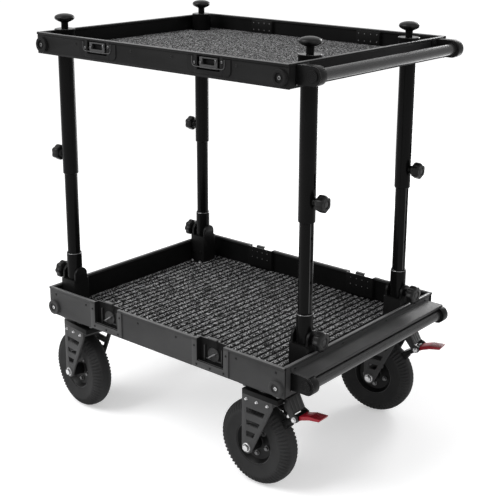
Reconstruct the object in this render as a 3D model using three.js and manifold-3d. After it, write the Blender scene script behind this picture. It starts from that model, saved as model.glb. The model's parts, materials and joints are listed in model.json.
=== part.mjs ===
// Camera cart: two carpeted trays joined by four telescoping posts, on four swivel casters.
// Millimetres, +Z up, the floor at z = 0, the long side along X and the handle end at +X.
import * as THREE from "three";
import { mergeVertices } from "three/addons/utils/BufferGeometryUtils.js";
import Module from "manifold-3d";

const wasm = await Module();
wasm.setup();

// Fits shared by all pieces
const fit = 0.3; // gap between pieces that touch
const runningGap = 0.5; // gap beside pieces that turn
const overrun = 1; // how far a cut passes the face it opens

// Trays
const trayLength = 762;
const trayWidth = 600;
const wallThickness = 4;
const lowerHeight = 72;
const upperHeight = 51;
const trayPitch = 643; // from the lower tray's top edge to the upper one's
const beadHeight = 6; // rolled top edge of a wall
const beadLip = 2; // how far it stands out on each side of the wall
const grooveDrop = 3; // plain step under the bead
const footHeight = 5; // ledge along the bottom of a wall
const panThickness = 4;
const carpetThickness = 8.5;

// Posts
const postEndInset = 33; // tray end to a post's centre
const leftPostSideInset = 59; // tray side to a left post's centre
const rightPostSideInset = 112;
const innerRadius = 16;
const innerWall = 2.5;
const outerRadius = 19;
const collarRadius = 19;
const collarAboveRim = 86;
const collarLip = 4; // bevel at the collar's top
const outerEndAboveRim = 291; // lower end of the outer post
const innerInsideOuter = 127; // how far the inner post reaches into the outer one
const postSides = 12;
const barSides = 12; // facets of bosses, necks and caps
const pinSides = 6; // facets of screws and axles
const holeSides = 6;
const cheekSteps = 6; // facets of a round end
const screwDrawnBack = 3; // clamp screw's tip to the inner post, with the knob loosened
const keyWidth = 7; // groove along the inner post
const keyDepth = 2.2;
const keyEndAboveCollar = 45;
const indexPitch = 50;
const indexRadius = 3.2;
const windowWidth = 5; // sight slot in the outer post
const windowHeight = 34;
const windowAboveEnd = 74;

// Knobs
const heightKnobAboveEnd = 47;
const heightKnobReach = 40; // post centre to the middle of the head
const heightKnobRadius = 19.5;
const heightKnobLobes = 6;
const heightKnobDepth = 22;
const baseKnobAboveRim = 28;
const baseKnobReach = 44;
const baseKnobRadius = 23;
const baseKnobLobes = 8;
const baseKnobDepth = 20;
const lobeShare = 0.11; // depth of the hollows between lobes, of the knob's radius
const pointsPerLobe = 3;
const neckFlareShare = 0.62; // wide end of a knob's neck, of the head's radius
const knobShankRadius = 5;
const knobNeckRadius = 9;
const knobBossLength = 5;
const knobBevel = 3;
const topKnobRadius = 24;
const topKnobHeight = 36;
const topKnobStemRadius = 8.5;
const topKnobCapHeight = 19;
const topKnobScallops = 6;
const topKnobScallopRadius = 6;
const scallopReachShare = 0.5; // how far a scallop's centre stands off the cap, of its radius
const topKnobShares = [[0.62, 0], [1, 0.35], [1, 0.5], [0.9, 0.8], [0.55, 1]]; // of radius and height
const postHeadRadius = 25; // head of an outer post, from the pan up to the top knob
const postHeadAboveRim = 5;

// Post sockets on the lower tray
const socketSide = 48;
const cheekThickness = 8;
const cheekRadius = 19;
const socketShoulderBelowRim = 14;
const socketFootLength = 74;
const socketFootThickness = 5;

// Handles at the right end
const handleTubeRadius = 12.5;
const handleReach = 41; // end wall to the tube's centre
const armSideInset = 24; // tray side to an arm's outer face
const armThickness = 20;
const armRadius = 20;
const armCapRadius = 12.5;
const armCapHeight = 3;
const armFlangeThickness = 4;
const armFlangeHeight = 46;
const upperHandleBelowRim = 23;
const lowerHandleBelowRim = 38;
const handleSides = 12;
const treadThickness = 3;
const treadLip = 7;
const treadOverhang = 5; // of the plate past the middle of the tube under it

// Bosses and latch dishes on the long sides
const bossEndInset = 20; // tray end to a boss's centre
const bossRadius = 18;
const bossHeight = 8;
const bossRecessRadius = 11;
const bossRecessDepth = 3;
const bossScrewRadius = 5.5;
const upperBossBelowRim = 29;
const lowerBossBelowRim = 51;
const latchPlaceShare = 0.4462; // tray's middle to a latch, of half the length
const dishDepth = 14;
const dishWall = 2;
const dishFrameProud = 2.5; // flat frame round a dish, standing on the wall's outer face
const latchDishWidth = 80;
const latchDishFrame = 15;
const latchDishDrop = 54; // lower edge of a latch dish under the rim, which it cuts through
const keeperDishWidth = 64;
const keeperDishFrame = 8;
const keeperDrop = 35; // lower edge of a keeper dish under the rim
const keeperTop = 5;
const keeperHookWidth = 34;
const keeperHookHeight = 14;
const keyRadius = 17;
const keyPlateThickness = 2.5;
const keyWingHeight = 7;
const keyWingThickness = 3;
const keyGripShare = 0.9; // length of the grip, of the disc
const hookWidth = 26;
const hookAboveRim = 6;

// Casters
const wheelRadius = 101.5;
const tyreWidth = 52;
const casterEndInset = 81; // tray end to a swivel axis
const casterSideInset = 60;
const trail = 34; // swivel axis to axle
const frontRightYaw = 0;
const backRightYaw = 8;
const frontLeftYaw = -8;
const backLeftYaw = 4;
const crownClearance = 15; // tyre to the crown of the fork
const crownThickness = 12.5;
const forkTopWidth = 85;
const forkEndRadius = 15;
const forkSquareHeight = 17; // upright part of the leading edge
const forkInner = 40; // wheel centre plane to a fork plate
const forkPlate = 5;
const windowMargin = 12.5;
const windowShares = [[0.24, 0.341], [0.473, 0.566], [0.682, 0.7905]]; // drops of their edges, of the fork
const headThickness = 11.5;
const headFront = 52; // how far the head plate reaches ahead of the swivel axis
const bearingRadius = 36;
const bearingHeight = 10; // with its gap to the mounting plate
const mountPlateLength = 112;
const mountPlateWidth = 92;
const mountPlateThickness = 8;
const axleRadius = 6;
const axleHeadRadius = 9;
const axleHeadHeight = 4;
const rimWell = 51.5; // radius that the tyre's bead seats on
const rimFlange = 55.5;
const rimHalfWidth = 20;
const rimSheet = 3;
const hubRadius = 15;
const webHalf = 7;
const tyreSteps = 20;
const rimSteps = 12;
const tyrePoints = 7;
const tyreShoulder = 126; // degrees that the round section runs each way from the tread
const tyreBeadHalf = 15;
const brakePivotReach = 28; // ahead of the head plate
const brakePivotDrop = 32.5; // under the fork's top
const brakeHalfWidth = 22;
const brakeSheet = 3.5;
const brakePinRadius = 4;
const pedalHub = 8.5;
const pedalHalfWidth = 15;
const pedalLength = 65;
const tongueRootShares = [[0.8, -0.4], [0.5, 0.8]]; // where the tongue leaves the hub, of its radius
// Corners of the tongue, in shares of its length and of the hub's radius
const tongueShares = [[0.26, 0.18], [0.54, 0.9], [0.94, 1.4], [1, 2.1], [0.5, 1.8]];
const housingMouthShares = [1.6, 3]; // rise of its front edge over the pivot, of the hub's radius
const pedalWebShare = 0.9; // web between hub and shoe, of the hub's radius
const shoeStart = 208; // degrees round the pivot
const shoeEnd = 232;
const shoeStep = 8; // degrees between the points of its curve
const shoeThickness = 7;
const shoeHalfWidth = 12;

// Places and heights that follow
const postX = trayLength / 2 - postEndInset;
const leftPostY = trayWidth / 2 - leftPostSideInset;
const rightPostY = trayWidth / 2 - rightPostSideInset;
const bossX = trayLength / 2 - bossEndInset;
const latchX = (latchPlaceShare * trayLength) / 2;
const armOuterY = trayWidth / 2 - armSideInset;
const casterX = trayLength / 2 - casterEndInset;
const casterY = trayWidth / 2 - casterSideInset;
const forkHeight = wheelRadius + crownClearance + crownThickness; // axle to the top edge of a fork plate
const forkTop = wheelRadius + forkHeight;
const headTop = forkTop + headThickness;
const mountPlateBottom = headTop + bearingHeight;
const lowerBottom = mountPlateBottom + mountPlateThickness;
const rimAboveFloor = lowerBottom + lowerHeight; // top edge of the lower tray
const sideFace = trayWidth / 2 - beadLip; // outer face of a long side, under its bead
const endFace = trayLength / 2 - beadLip;
const keyCentreZ = rimAboveFloor - latchDishDrop + keyRadius + dishWall + overrun;
const upperRim = rimAboveFloor + trayPitch;
const upperBottom = upperRim - upperHeight;
const collarTop = rimAboveFloor + collarAboveRim;
const outerEnd = rimAboveFloor + outerEndAboveRim;
const postHeadTop = upperRim + postHeadAboveRim;
const postHeadBottom = upperBottom + panThickness + fit; // the head's shoulder stands on the pan
const baseKnobZ = rimAboveFloor + baseKnobAboveRim;
const heightKnobZ = outerEnd + heightKnobAboveEnd;
const brakePivotX = headFront + brakePivotReach; // ahead of the swivel axis
const brakePivotZ = forkTop - brakePivotDrop;

// Finishes
const finish = (color, roughness, metalness) =>
  new THREE.MeshStandardMaterial({ color, roughness, metalness });
const blackAlloy = finish(0x333333, 0.5, 0.6);
const blackPlastic = finish(0x1b1b1b, 0.55, 0);
const blackTube = finish(0x181818, 0.4, 0.6);
const blackSteel = finish(0x262626, 0.45, 0.7);
const rubber = finish(0x2b2b2b, 0.85, 0);
const carpet = finish(0x303032, 1, 0);
const redPedal = finish(0xa01020, 0.45, 0.3);

// A closed geometry as a solid for joins and cuts, with its faces turned outwards
function solid(geometry) {
  const bare = geometry.index ? geometry.toNonIndexed() : geometry;
  const placed = new THREE.BufferGeometry().setAttribute("position", bare.getAttribute("position"));
  const merged = mergeVertices(placed, 1e-3);
  const corners = merged.index.array;
  const triangles = [];
  for (let i = 0; i < corners.length; i += 3) {
    const [a, b, c] = [corners[i], corners[i + 1], corners[i + 2]];
    if (a !== b && b !== c && c !== a) triangles.push(a, b, c);
  }
  const make = (triVerts) =>
    new wasm.Manifold(new wasm.Mesh({ numProp: 3, vertProperties: merged.attributes.position.array, triVerts }));
  const made = make(new Uint32Array(triangles));
  return made.volume() < 0 ? make(new Uint32Array(triangles.reverse())) : made;
}

// A solid as a geometry again
function geometryOf(made) {
  const mesh = made.getMesh();
  const geometry = new THREE.BufferGeometry();
  geometry.setAttribute("position", new THREE.BufferAttribute(new Float32Array(mesh.vertProperties), 3));
  geometry.setIndex(new THREE.BufferAttribute(new Uint32Array(mesh.triVerts), 1));
  geometry.computeVertexNormals();
  return geometry;
}

const join = (...pieces) => pieces.reduce((a, b) => a.add(b));
const cut = (piece, ...tools) => tools.reduce((a, b) => a.subtract(b), piece);
const radians = THREE.MathUtils.degToRad;

// Radius of a faceted bore round a faceted pin, which is narrower at its flats
const boreRound = (radius, sides) => (radius + fit) / Math.cos(Math.PI / sides);

// A block between two corners
function block(low, high) {
  const size = high.map((value, i) => value - low[i]);
  const middle = high.map((value, i) => (value + low[i]) / 2);
  return solid(new THREE.BoxGeometry(...size).translate(...middle));
}

// Turns that lay a shape drawn in two axes, and its depth, along X, Y or Z
const layings = {
  x: new THREE.Matrix4().makeBasis(
    new THREE.Vector3(0, 1, 0),
    new THREE.Vector3(0, 0, 1),
    new THREE.Vector3(1, 0, 0),
  ),
  y: new THREE.Matrix4().makeBasis(
    new THREE.Vector3(1, 0, 0),
    new THREE.Vector3(0, 0, 1),
    new THREE.Vector3(0, -1, 0),
  ),
  z: new THREE.Matrix4(),
};

// An outline pulled along an axis between two places. Along X it is drawn as (y, z), along Y as (x, z)
function prism(outline, axis, from, to, steps = 8) {
  const points = outline instanceof THREE.Shape ? [] : outline.map(([a, b]) => new THREE.Vector2(a, b));
  const shape = outline instanceof THREE.Shape ? outline : new THREE.Shape(points);
  const settings = { depth: to - from, bevelEnabled: false, curveSegments: steps };
  const pulled = new THREE.ExtrudeGeometry(shape, settings);
  pulled.applyMatrix4(layings[axis]);
  const start = axis === "y" ? to : from;
  const shift = { x: 0, y: 0, z: 0, [axis]: start };
  return solid(pulled.translate(shift.x, shift.y, shift.z));
}

// A profile of (radius, height) turned about an axis through a point
function turned(profile, axis, centre, sides) {
  const points = profile.map(([radius, height]) => new THREE.Vector2(radius, height));
  const spun = new THREE.LatheGeometry(points, sides);
  if (axis === "z") spun.rotateX(Math.PI / 2);
  if (axis === "x") spun.rotateZ(-Math.PI / 2);
  return solid(spun.translate(...centre));
}

// A round bar along an axis, between two places on it
function rod(radius, axis, from, to, centre, sides) {
  const profile = [[0, from], [radius, from], [radius, to], [0, to]];
  return turned(profile, axis, centre, sides);
}

const cart = new THREE.Group();

// Adds a named piece. A piece drawn about its own origin also takes a place and a turn about Z, in degrees
function piece(name, made, material, place = [0, 0, 0], turn = 0) {
  const mesh = new THREE.Mesh(geometryOf(made), material);
  mesh.name = name;
  mesh.position.set(...place);
  mesh.rotation.z = radians(turn);
  cart.add(mesh);
}

// Places that repeat
const posts = [
  { corner: "front_left", x: -postX, y: -leftPostY, out: -1 },
  { corner: "back_left", x: -postX, y: leftPostY, out: -1 },
  { corner: "front_right", x: postX, y: -rightPostY, out: 1 },
  { corner: "back_right", x: postX, y: rightPostY, out: 1 },
];
const casters = [
  { corner: "front_left", x: -casterX, y: -casterY, yaw: frontLeftYaw, brake: false },
  { corner: "back_left", x: -casterX, y: casterY, yaw: backLeftYaw, brake: false },
  { corner: "front_right", x: casterX, y: -casterY, yaw: frontRightYaw, brake: true },
  { corner: "back_right", x: casterX, y: casterY, yaw: backRightYaw, brake: true },
];

// Section of a tray wall as (distance outwards, height), with its rolled top edge
function wallSection(bottom, top) {
  const inner = -wallThickness;
  return [
    [0, bottom],
    [0, top - beadHeight - grooveDrop],
    [-beadLip / 2, top - beadHeight],
    [beadLip, top - beadHeight],
    [beadLip, top - beadLip / 2],
    [beadLip / 2, top],
    [inner, top],
    [inner - beadLip, top - beadLip / 2],
    [inner - beadLip, top - beadHeight],
    [inner, top - beadHeight - beadLip],
    [inner, bottom],
  ];
}

// A recessed round boss with its screw, standing on the outer face of a front wall
function boss(x, z) {
  const face = -sideFace;
  const front = face - bossHeight;
  const body = rod(bossRadius, "y", front, face + wallThickness / 2, [x, 0, z], barSides);
  const recess = rod(bossRecessRadius, "y", front - overrun, front + bossRecessDepth, [x, 0, z], barSides);
  const screwFace = front + bossRecessDepth / 2;
  const screw = rod(bossScrewRadius, "y", screwFace, front + bossHeight / 2, [x, 0, z], holeSides);
  return join(cut(body, recess), screw);
}

// A latch dish is open through the rim, and a keeper dish ends under it
const latchDish = {
  width: latchDishWidth,
  frame: latchDishFrame,
  top: rimAboveFloor,
  bottom: rimAboveFloor - latchDishDrop,
  openTop: overrun,
};
const keeperDish = {
  width: keeperDishWidth,
  frame: keeperDishFrame,
  top: upperRim - keeperTop,
  bottom: upperRim - keeperDrop,
  openTop: 0,
};

// The opening in a front wall for a dish, and the dish that fills it
function dish(x, { width, frame, top, bottom, openTop }) {
  const face = -sideFace;
  const half = width / 2;
  const back = face + dishDepth;
  const front = face - dishFrameProud;
  const opening = block([x - half, front - overrun, bottom], [x + half, back - dishWall, top + openTop]);
  const shell = block(
    [x - half - frame, front, bottom - frame],
    [x + half + frame, face + wallThickness / 2, top],
  );
  const tub = block(
    [x - half - dishWall, face, bottom - dishWall],
    [x + half + dishWall, back, top],
  );
  return { opening, shell: join(shell, tub) };
}

// A long side with its two dishes and two bosses, drawn as the front one. Turned round, it is the back one
function longSide(bottom, top, recess, bossZ, extra) {
  const outward = wallSection(bottom, top).map(([out, z]) => [-sideFace - out, z]);
  let side = prism(outward, "x", -trayLength / 2, trayLength / 2);
  for (const x of [-latchX, latchX]) {
    const { opening, shell } = dish(x, recess);
    side = join(cut(join(side, shell), opening), extra(x));
  }
  return join(side, boss(-bossX, bossZ), boss(bossX, bossZ));
}

// The fixed hook plate in a dish of the upper tray, which a strap or a second cart's latch would catch
function keeperHook(x) {
  const back = -sideFace + dishDepth - dishWall;
  const z = upperRim - (keeperTop + keeperDrop) / 2;
  return block(
    [x - keeperHookWidth / 2, back - keyWingHeight, z - keeperHookHeight / 2],
    [x + keeperHookWidth / 2, back + dishWall / 2, z + keeperHookHeight / 2],
  );
}

// The latch body in a dish of the lower tray: a slide that ends in a hook over the rim
function latchBody(x) {
  const back = -sideFace + dishDepth - dishWall;
  const top = rimAboveFloor + hookAboveRim;
  const plate = block(
    [x - hookWidth / 2, back - keyWingThickness, keyCentreZ + keyRadius + fit],
    [x + hookWidth / 2, back + dishWall / 2, top],
  );
  const lip = block(
    [x - hookWidth / 2, back - keyWingHeight, top - keyWingThickness],
    [x + hookWidth / 2, back, top],
  );
  return join(plate, lip);
}

// A short end wall between the long sides
function endWall(bottom, top) {
  const span = sideFace - wallThickness - beadLip - fit;
  const outward = wallSection(bottom, top).map(([out, z]) => [endFace + out, z]);
  return prism(outward, "y", -span, span);
}

// A floor pan between the walls
function pan(bottom) {
  const halfLength = endFace - wallThickness - fit;
  const halfWidth = sideFace - wallThickness - fit;
  return block([-halfLength, -halfWidth, bottom], [halfLength, halfWidth, bottom + panThickness]);
}

// The carpet on a pan, kept clear of the dishes
function carpetSheet(bottom, { width, bottom: dishBottom }) {
  const halfLength = endFace - wallThickness - fit;
  const halfWidth = sideFace - wallThickness - fit;
  const base = bottom + panThickness + fit;
  const sheet = block([-halfLength, -halfWidth, base], [halfLength, halfWidth, base + carpetThickness]);
  const inside = sideFace - dishDepth - fit;
  const half = width / 2 + dishWall + fit;
  const under = dishBottom - dishWall - fit;
  const notches = [];
  for (const x of [-latchX, latchX])
    for (const y of [-sideFace, inside])
      notches.push(block([x - half, y, under], [x + half, y + dishDepth + fit, under + trayPitch]));
  return cut(sheet, ...notches);
}

// Lower tray
function lowerTray() {
  const pad = (x, y) =>
    block(
      [x - mountPlateLength / 2, y - mountPlateWidth / 2, mountPlateBottom],
      [x + mountPlateLength / 2, y + mountPlateWidth / 2, lowerBottom + panThickness / 2],
    );
  const pads = casters.map(({ x, y }) => pad(x, y));
  piece("lower_floor_pan", join(pan(lowerBottom), ...pads), blackAlloy);
  const socketGap = socketSide / 2 + fit;
  const feet = posts.map(({ x, y }) =>
    block(
      [x - socketGap, y - socketFootLength / 2 - fit, lowerBottom + panThickness],
      [x + socketGap, y + socketFootLength / 2 + fit, rimAboveFloor],
    ),
  );
  piece("lower_carpet", cut(carpetSheet(lowerBottom, latchDish), ...feet), carpet);
  const side = longSide(lowerBottom, rimAboveFloor, latchDish, rimAboveFloor - lowerBossBelowRim, latchBody);
  piece("lower_side_front", side, blackAlloy);
  piece("lower_side_back", side, blackAlloy, [0, 0, 0], 180);
  const end = endWall(lowerBottom, rimAboveFloor);
  piece("lower_end_right", end, blackAlloy);
  piece("lower_end_left", end, blackAlloy, [0, 0, 0], 180);
}

// A wing key that turns in a latch dish: a disc with a folded grip across it
function butterflyKey() {
  const disc = rod(keyRadius, "y", -keyPlateThickness, 0, [0, 0, 0], postSides);
  const grip = block(
    [-keyRadius * keyGripShare, -keyPlateThickness - keyWingHeight, -keyWingThickness / 2],
    [keyRadius * keyGripShare, -keyPlateThickness / 2, keyWingThickness / 2],
  );
  return join(disc, grip);
}

function latchKeys() {
  const back = sideFace - dishDepth + dishWall + fit;
  for (const [name, x, side] of [
    ["front_left", -latchX, -1],
    ["front_right", latchX, -1],
    ["back_left", -latchX, 1],
    ["back_right", latchX, 1],
  ])
    piece(`latch_key_${name}`, butterflyKey(), blackSteel, [x, side * back, keyCentreZ], side < 0 ? 0 : 180);
}

// Outline of a lobed knob
function lobes(radius, count) {
  const points = [];
  const total = count * pointsPerLobe;
  for (let i = 0; i < total; i += 1) {
    const turn = (2 * Math.PI * i) / total;
    const r = radius * (1 - (lobeShare * (1 - Math.cos(count * turn))) / 2);
    points.push([r * Math.cos(turn), r * Math.sin(turn)]);
  }
  return points;
}

// A side knob along +X from the post's centre line: shank, neck and lobed head
function sideKnob(radius, count, reach, depth, shankFrom, neckFrom) {
  const near = reach - depth / 2;
  const far = reach + depth / 2;
  const shank = rod(knobShankRadius, "x", shankFrom, near, [0, 0, 0], pinSides);
  const flare = [
    [0, neckFrom],
    [knobNeckRadius, neckFrom],
    [radius * neckFlareShare, near + overrun],
    [0, near + overrun],
  ];
  const neck = turned(flare, "x", [0, 0, 0], barSides);
  const head = prism(lobes(radius, count), "x", near, far - knobBevel);
  const face = prism(lobes(radius - knobBevel, count), "x", far - knobBevel - fit, far);
  return join(shank, neck, head, face);
}

// Sockets on the lower tray that clamp the posts, with round-topped cheeks on both sides of the post
function socket() {
  const half = socketSide / 2;
  const base = lowerBottom + panThickness + fit;
  const shoulder = rimAboveFloor - socketShoulderBelowRim;
  const body = block([-half, -half, base], [half, half, shoulder]);
  const footHalf = socketFootLength / 2;
  const foot = block([-half, -footHalf, base], [half, footHalf, base + socketFootThickness]);
  const cheek = new THREE.Shape();
  cheek.moveTo(-cheekRadius, shoulder - overrun);
  cheek.lineTo(cheekRadius, shoulder - overrun);
  cheek.lineTo(cheekRadius, baseKnobZ);
  cheek.absarc(0, baseKnobZ, cheekRadius, 0, Math.PI, false);
  cheek.closePath();
  const cheeks = [
    prism(cheek, "x", half - cheekThickness, half, cheekSteps),
    prism(cheek, "x", -half, -half + cheekThickness, cheekSteps),
  ];
  const boreTop = baseKnobZ + cheekRadius + overrun;
  const bore = rod(collarRadius + fit, "z", base - overrun, boreTop, [0, 0, 0], postSides);
  const screwBore = boreRound(knobShankRadius, pinSides);
  const screwHole = rod(screwBore, "x", 0, half + overrun, [0, 0, baseKnobZ], pinSides);
  return cut(join(body, foot, ...cheeks), bore, screwHole);
}

// The inner post: a round tube with a thick collar at its foot and a key groove with index holes
function innerPost() {
  const foot = lowerBottom + panThickness + fit + fit;
  const top = outerEnd + innerInsideOuter;
  const bore = innerRadius - innerWall;
  const profile = [
    [bore, foot],
    [collarRadius, foot],
    [collarRadius, collarTop - collarLip],
    [collarRadius - collarLip / 2, collarTop],
    [innerRadius, collarTop],
    [innerRadius, top],
    [bore, top],
    [bore, foot],
  ];
  const tube = turned(profile, "z", [0, 0, 0], postSides);
  const keyFrom = collarTop + keyEndAboveCollar;
  const groove = block(
    [innerRadius - keyDepth, -keyWidth / 2, keyFrom],
    [innerRadius + overrun, keyWidth / 2, top + overrun],
  );
  const holes = [];
  for (let z = keyFrom + indexPitch / 2; z < top - indexRadius; z += indexPitch)
    holes.push(rod(indexRadius, "x", bore - overrun, innerRadius, [0, 0, z], holeSides));
  return cut(tube, groove, ...holes);
}

// The outer post: a sleeve that slides over the inner post and carries the upper tray
function outerPost() {
  const bore = innerRadius + fit;
  const roof = postHeadTop - postHeadRadius;
  const profile = [
    [bore, outerEnd],
    [outerRadius - overrun, outerEnd],
    [outerRadius, outerEnd + overrun],
    [outerRadius, postHeadBottom],
    [postHeadRadius, postHeadBottom],
    [postHeadRadius, postHeadTop - overrun],
    [postHeadRadius - overrun, postHeadTop],
    [0, postHeadTop],
    [0, roof],
    [bore, roof],
    [bore, outerEnd],
  ];
  const tube = turned(profile, "z", [0, 0, 0], postSides);
  const bossEnd = outerRadius + knobBossLength;
  const boss = rod(knobNeckRadius, "x", bore + overrun, bossEnd, [0, 0, heightKnobZ], barSides);
  const screwBore = boreRound(knobShankRadius, pinSides);
  const hole = rod(screwBore, "x", 0, bossEnd + overrun, [0, 0, heightKnobZ], pinSides);
  const slotFrom = outerEnd + windowAboveEnd;
  const slotEnd = slotFrom + windowHeight;
  const slot = block([0, -windowWidth / 2, slotFrom], [outerRadius + overrun, windowWidth / 2, slotEnd]);
  return cut(join(tube, boss), hole, slot);
}

// The mushroom knob on top of a post: a domed cap with a scalloped underside on a round stem
function topKnob() {
  const capFrom = topKnobHeight - topKnobCapHeight;
  const foot = fit;
  const r = topKnobRadius;
  const profile = [
    [0, foot],
    [topKnobStemRadius, foot],
    [topKnobStemRadius, capFrom - knobBevel],
    ...topKnobShares.map(([out, up]) => [r * out, capFrom + topKnobCapHeight * up]),
    [0, topKnobHeight],
  ];
  const body = turned(profile, "z", [0, 0, 0], postSides);
  const scallops = [];
  for (let i = 0; i < topKnobScallops; i += 1) {
    const turn = (2 * Math.PI * i) / topKnobScallops;
    const reach = r + topKnobScallopRadius * scallopReachShare;
    const centre = [reach * Math.cos(turn), reach * Math.sin(turn), 0];
    scallops.push(rod(topKnobScallopRadius, "z", 0, capFrom + topKnobCapHeight / 2, centre, holeSides));
  }
  return cut(body, ...scallops);
}

function postPieces() {
  const seat = collarRadius + fit;
  const tip = innerRadius + screwDrawnBack;
  const baseKnob = sideKnob(
    baseKnobRadius, baseKnobLobes, baseKnobReach, baseKnobDepth, seat, socketSide / 2 + fit,
  );
  const neck = outerRadius + knobBossLength + fit;
  const heightKnob = sideKnob(
    heightKnobRadius, heightKnobLobes, heightKnobReach, heightKnobDepth, tip, neck,
  );
  const made = { socket: socket(), inner: innerPost(), outer: outerPost(), top: topKnob() };
  for (const { corner, x, y, out } of posts) {
    const turn = out > 0 ? 0 : 180;
    piece(`post_socket_${corner}`, made.socket, blackAlloy, [x, y, 0], turn);
    piece(`inner_post_${corner}`, made.inner, blackTube, [x, y, 0], turn);
    piece(`outer_post_${corner}`, made.outer, blackTube, [x, y, 0], turn);
    piece(`base_knob_${corner}`, baseKnob, blackPlastic, [x, y, baseKnobZ], turn);
    piece(`height_knob_${corner}`, heightKnob, blackPlastic, [x, y, heightKnobZ], turn);
    piece(`top_knob_${corner}`, made.top, blackPlastic, [x, y, postHeadTop], turn);
  }
}

// Upper tray
function upperTray() {
  const holes = (radius) =>
    posts.map(({ x, y }) =>
      rod(radius + fit, "z", upperBottom - overrun, upperRim, [x, y, 0], postSides),
    );
  piece("upper_floor_pan", cut(pan(upperBottom), ...holes(outerRadius)), blackAlloy);
  const sheet = carpetSheet(upperBottom, keeperDish);
  piece("upper_carpet", cut(sheet, ...holes(postHeadRadius)), carpet);
  const side = longSide(upperBottom, upperRim, keeperDish, upperRim - upperBossBelowRim, keeperHook);
  piece("upper_side_front", side, blackAlloy);
  piece("upper_side_back", side, blackAlloy, [0, 0, 0], 180);
  const end = endWall(upperBottom, upperRim);
  piece("upper_end_right", end, blackAlloy);
  piece("upper_end_left", end, blackAlloy, [0, 0, 0], 180);
}

// A push handle: a tube between two round-ended arms that are screwed to the end wall
function handle(rim, drop) {
  const z = rim - drop;
  const face = trayLength / 2 + fit;
  const seat = endFace + fit;
  const centre = trayLength / 2 + handleReach;
  const arm = new THREE.Shape();
  arm.moveTo(face, z - armRadius);
  arm.lineTo(centre, z - armRadius);
  arm.absarc(centre, z, armRadius, -Math.PI / 2, Math.PI / 2, false);
  arm.lineTo(face, z + armRadius);
  arm.closePath();
  const inner = armOuterY - armThickness;
  const tube = rod(handleTubeRadius, "y", -inner - overrun, inner + overrun, [centre, 0, z], handleSides);
  const arms = [-1, 1].map((side) => {
    const near = Math.min(side * inner, side * armOuterY);
    const plate = prism(arm, "y", near, near + armThickness, cheekSteps);
    const capFrom = side < 0 ? -armOuterY - armCapHeight : armOuterY - overrun;
    const cap = rod(armCapRadius, "y", capFrom, capFrom + armCapHeight + overrun, [centre, 0, z], barSides);
    const flangeNear = Math.min(side * (inner - armThickness), side * armOuterY);
    const flangeTop = Math.min(z + armRadius, rim - beadHeight - fit);
    const flange = block(
      [seat, flangeNear, z - armFlangeHeight / 2],
      [seat + armFlangeThickness, flangeNear + armThickness * 2, flangeTop],
    );
    return join(plate, cap, flange);
  });
  return join(tube, ...arms);
}

// The plate that closes the gap between the lower tray and its handle
function treadPlate() {
  const base = rimAboveFloor - lowerHandleBelowRim + armRadius + fit;
  const top = base + treadThickness;
  const back = endFace + fit;
  const far = trayLength / 2 + handleReach + treadOverhang;
  const shelf = [
    [back, base],
    [far, base],
    [far, top - treadThickness / 2],
    [far - treadThickness / 2, top],
    [back + treadThickness, top],
    [back + treadThickness, rimAboveFloor - beadHeight - fit],
    [back, rimAboveFloor - beadHeight - fit],
  ];
  const lip = [
    [far - treadThickness, top - treadLip],
    [far, top - treadLip],
    [far, top - treadThickness / 2],
    [far - treadThickness, top - treadThickness / 2],
  ];
  const clear = armOuterY - armThickness - fit;
  return join(prism(shelf, "y", -armOuterY, armOuterY), prism(lip, "y", -clear, clear));
}

// Points on the slanted leading edge of a fork plate, at a drop under its top edge
function forkEdge() {
  const left = -trail - forkEndRadius;
  const right = left + forkTopWidth;
  const shoulder = { x: right, z: forkTop - forkSquareHeight };
  const dx = shoulder.x + trail;
  const dz = shoulder.z - wheelRadius;
  const tangent = Math.atan2(dz, dx) - Math.acos(forkEndRadius / Math.hypot(dx, dz));
  const low = {
    x: -trail + forkEndRadius * Math.cos(tangent),
    z: wheelRadius + forkEndRadius * Math.sin(tangent),
  };
  const slope = (shoulder.x - low.x) / (shoulder.z - low.z);
  const at = (z) => Math.min(right, shoulder.x + (z - shoulder.z) * slope);
  return { left, right, shoulder, tangent, at };
}

// One fork plate with its three lightening windows, drawn in (x, z)
function forkPlateShape() {
  const { left, right, shoulder, tangent, at } = forkEdge();
  const plate = new THREE.Shape();
  plate.moveTo(left, forkTop);
  plate.lineTo(left, wheelRadius);
  plate.absarc(-trail, wheelRadius, forkEndRadius, Math.PI, 2 * Math.PI + tangent, false);
  plate.lineTo(shoulder.x, shoulder.z);
  plate.lineTo(right, forkTop);
  plate.closePath();
  for (const [upper, lower] of windowShares) {
    const top = forkTop - upper * forkHeight;
    const bottom = forkTop - lower * forkHeight;
    const from = left + windowMargin;
    const window = new THREE.Path();
    window.moveTo(from, top);
    window.lineTo(from + overrun, bottom);
    window.lineTo(at(bottom) - windowMargin, bottom);
    window.lineTo(at(top) - windowMargin, top);
    window.closePath();
    plate.holes.push(window);
  }
  return plate;
}

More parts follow.
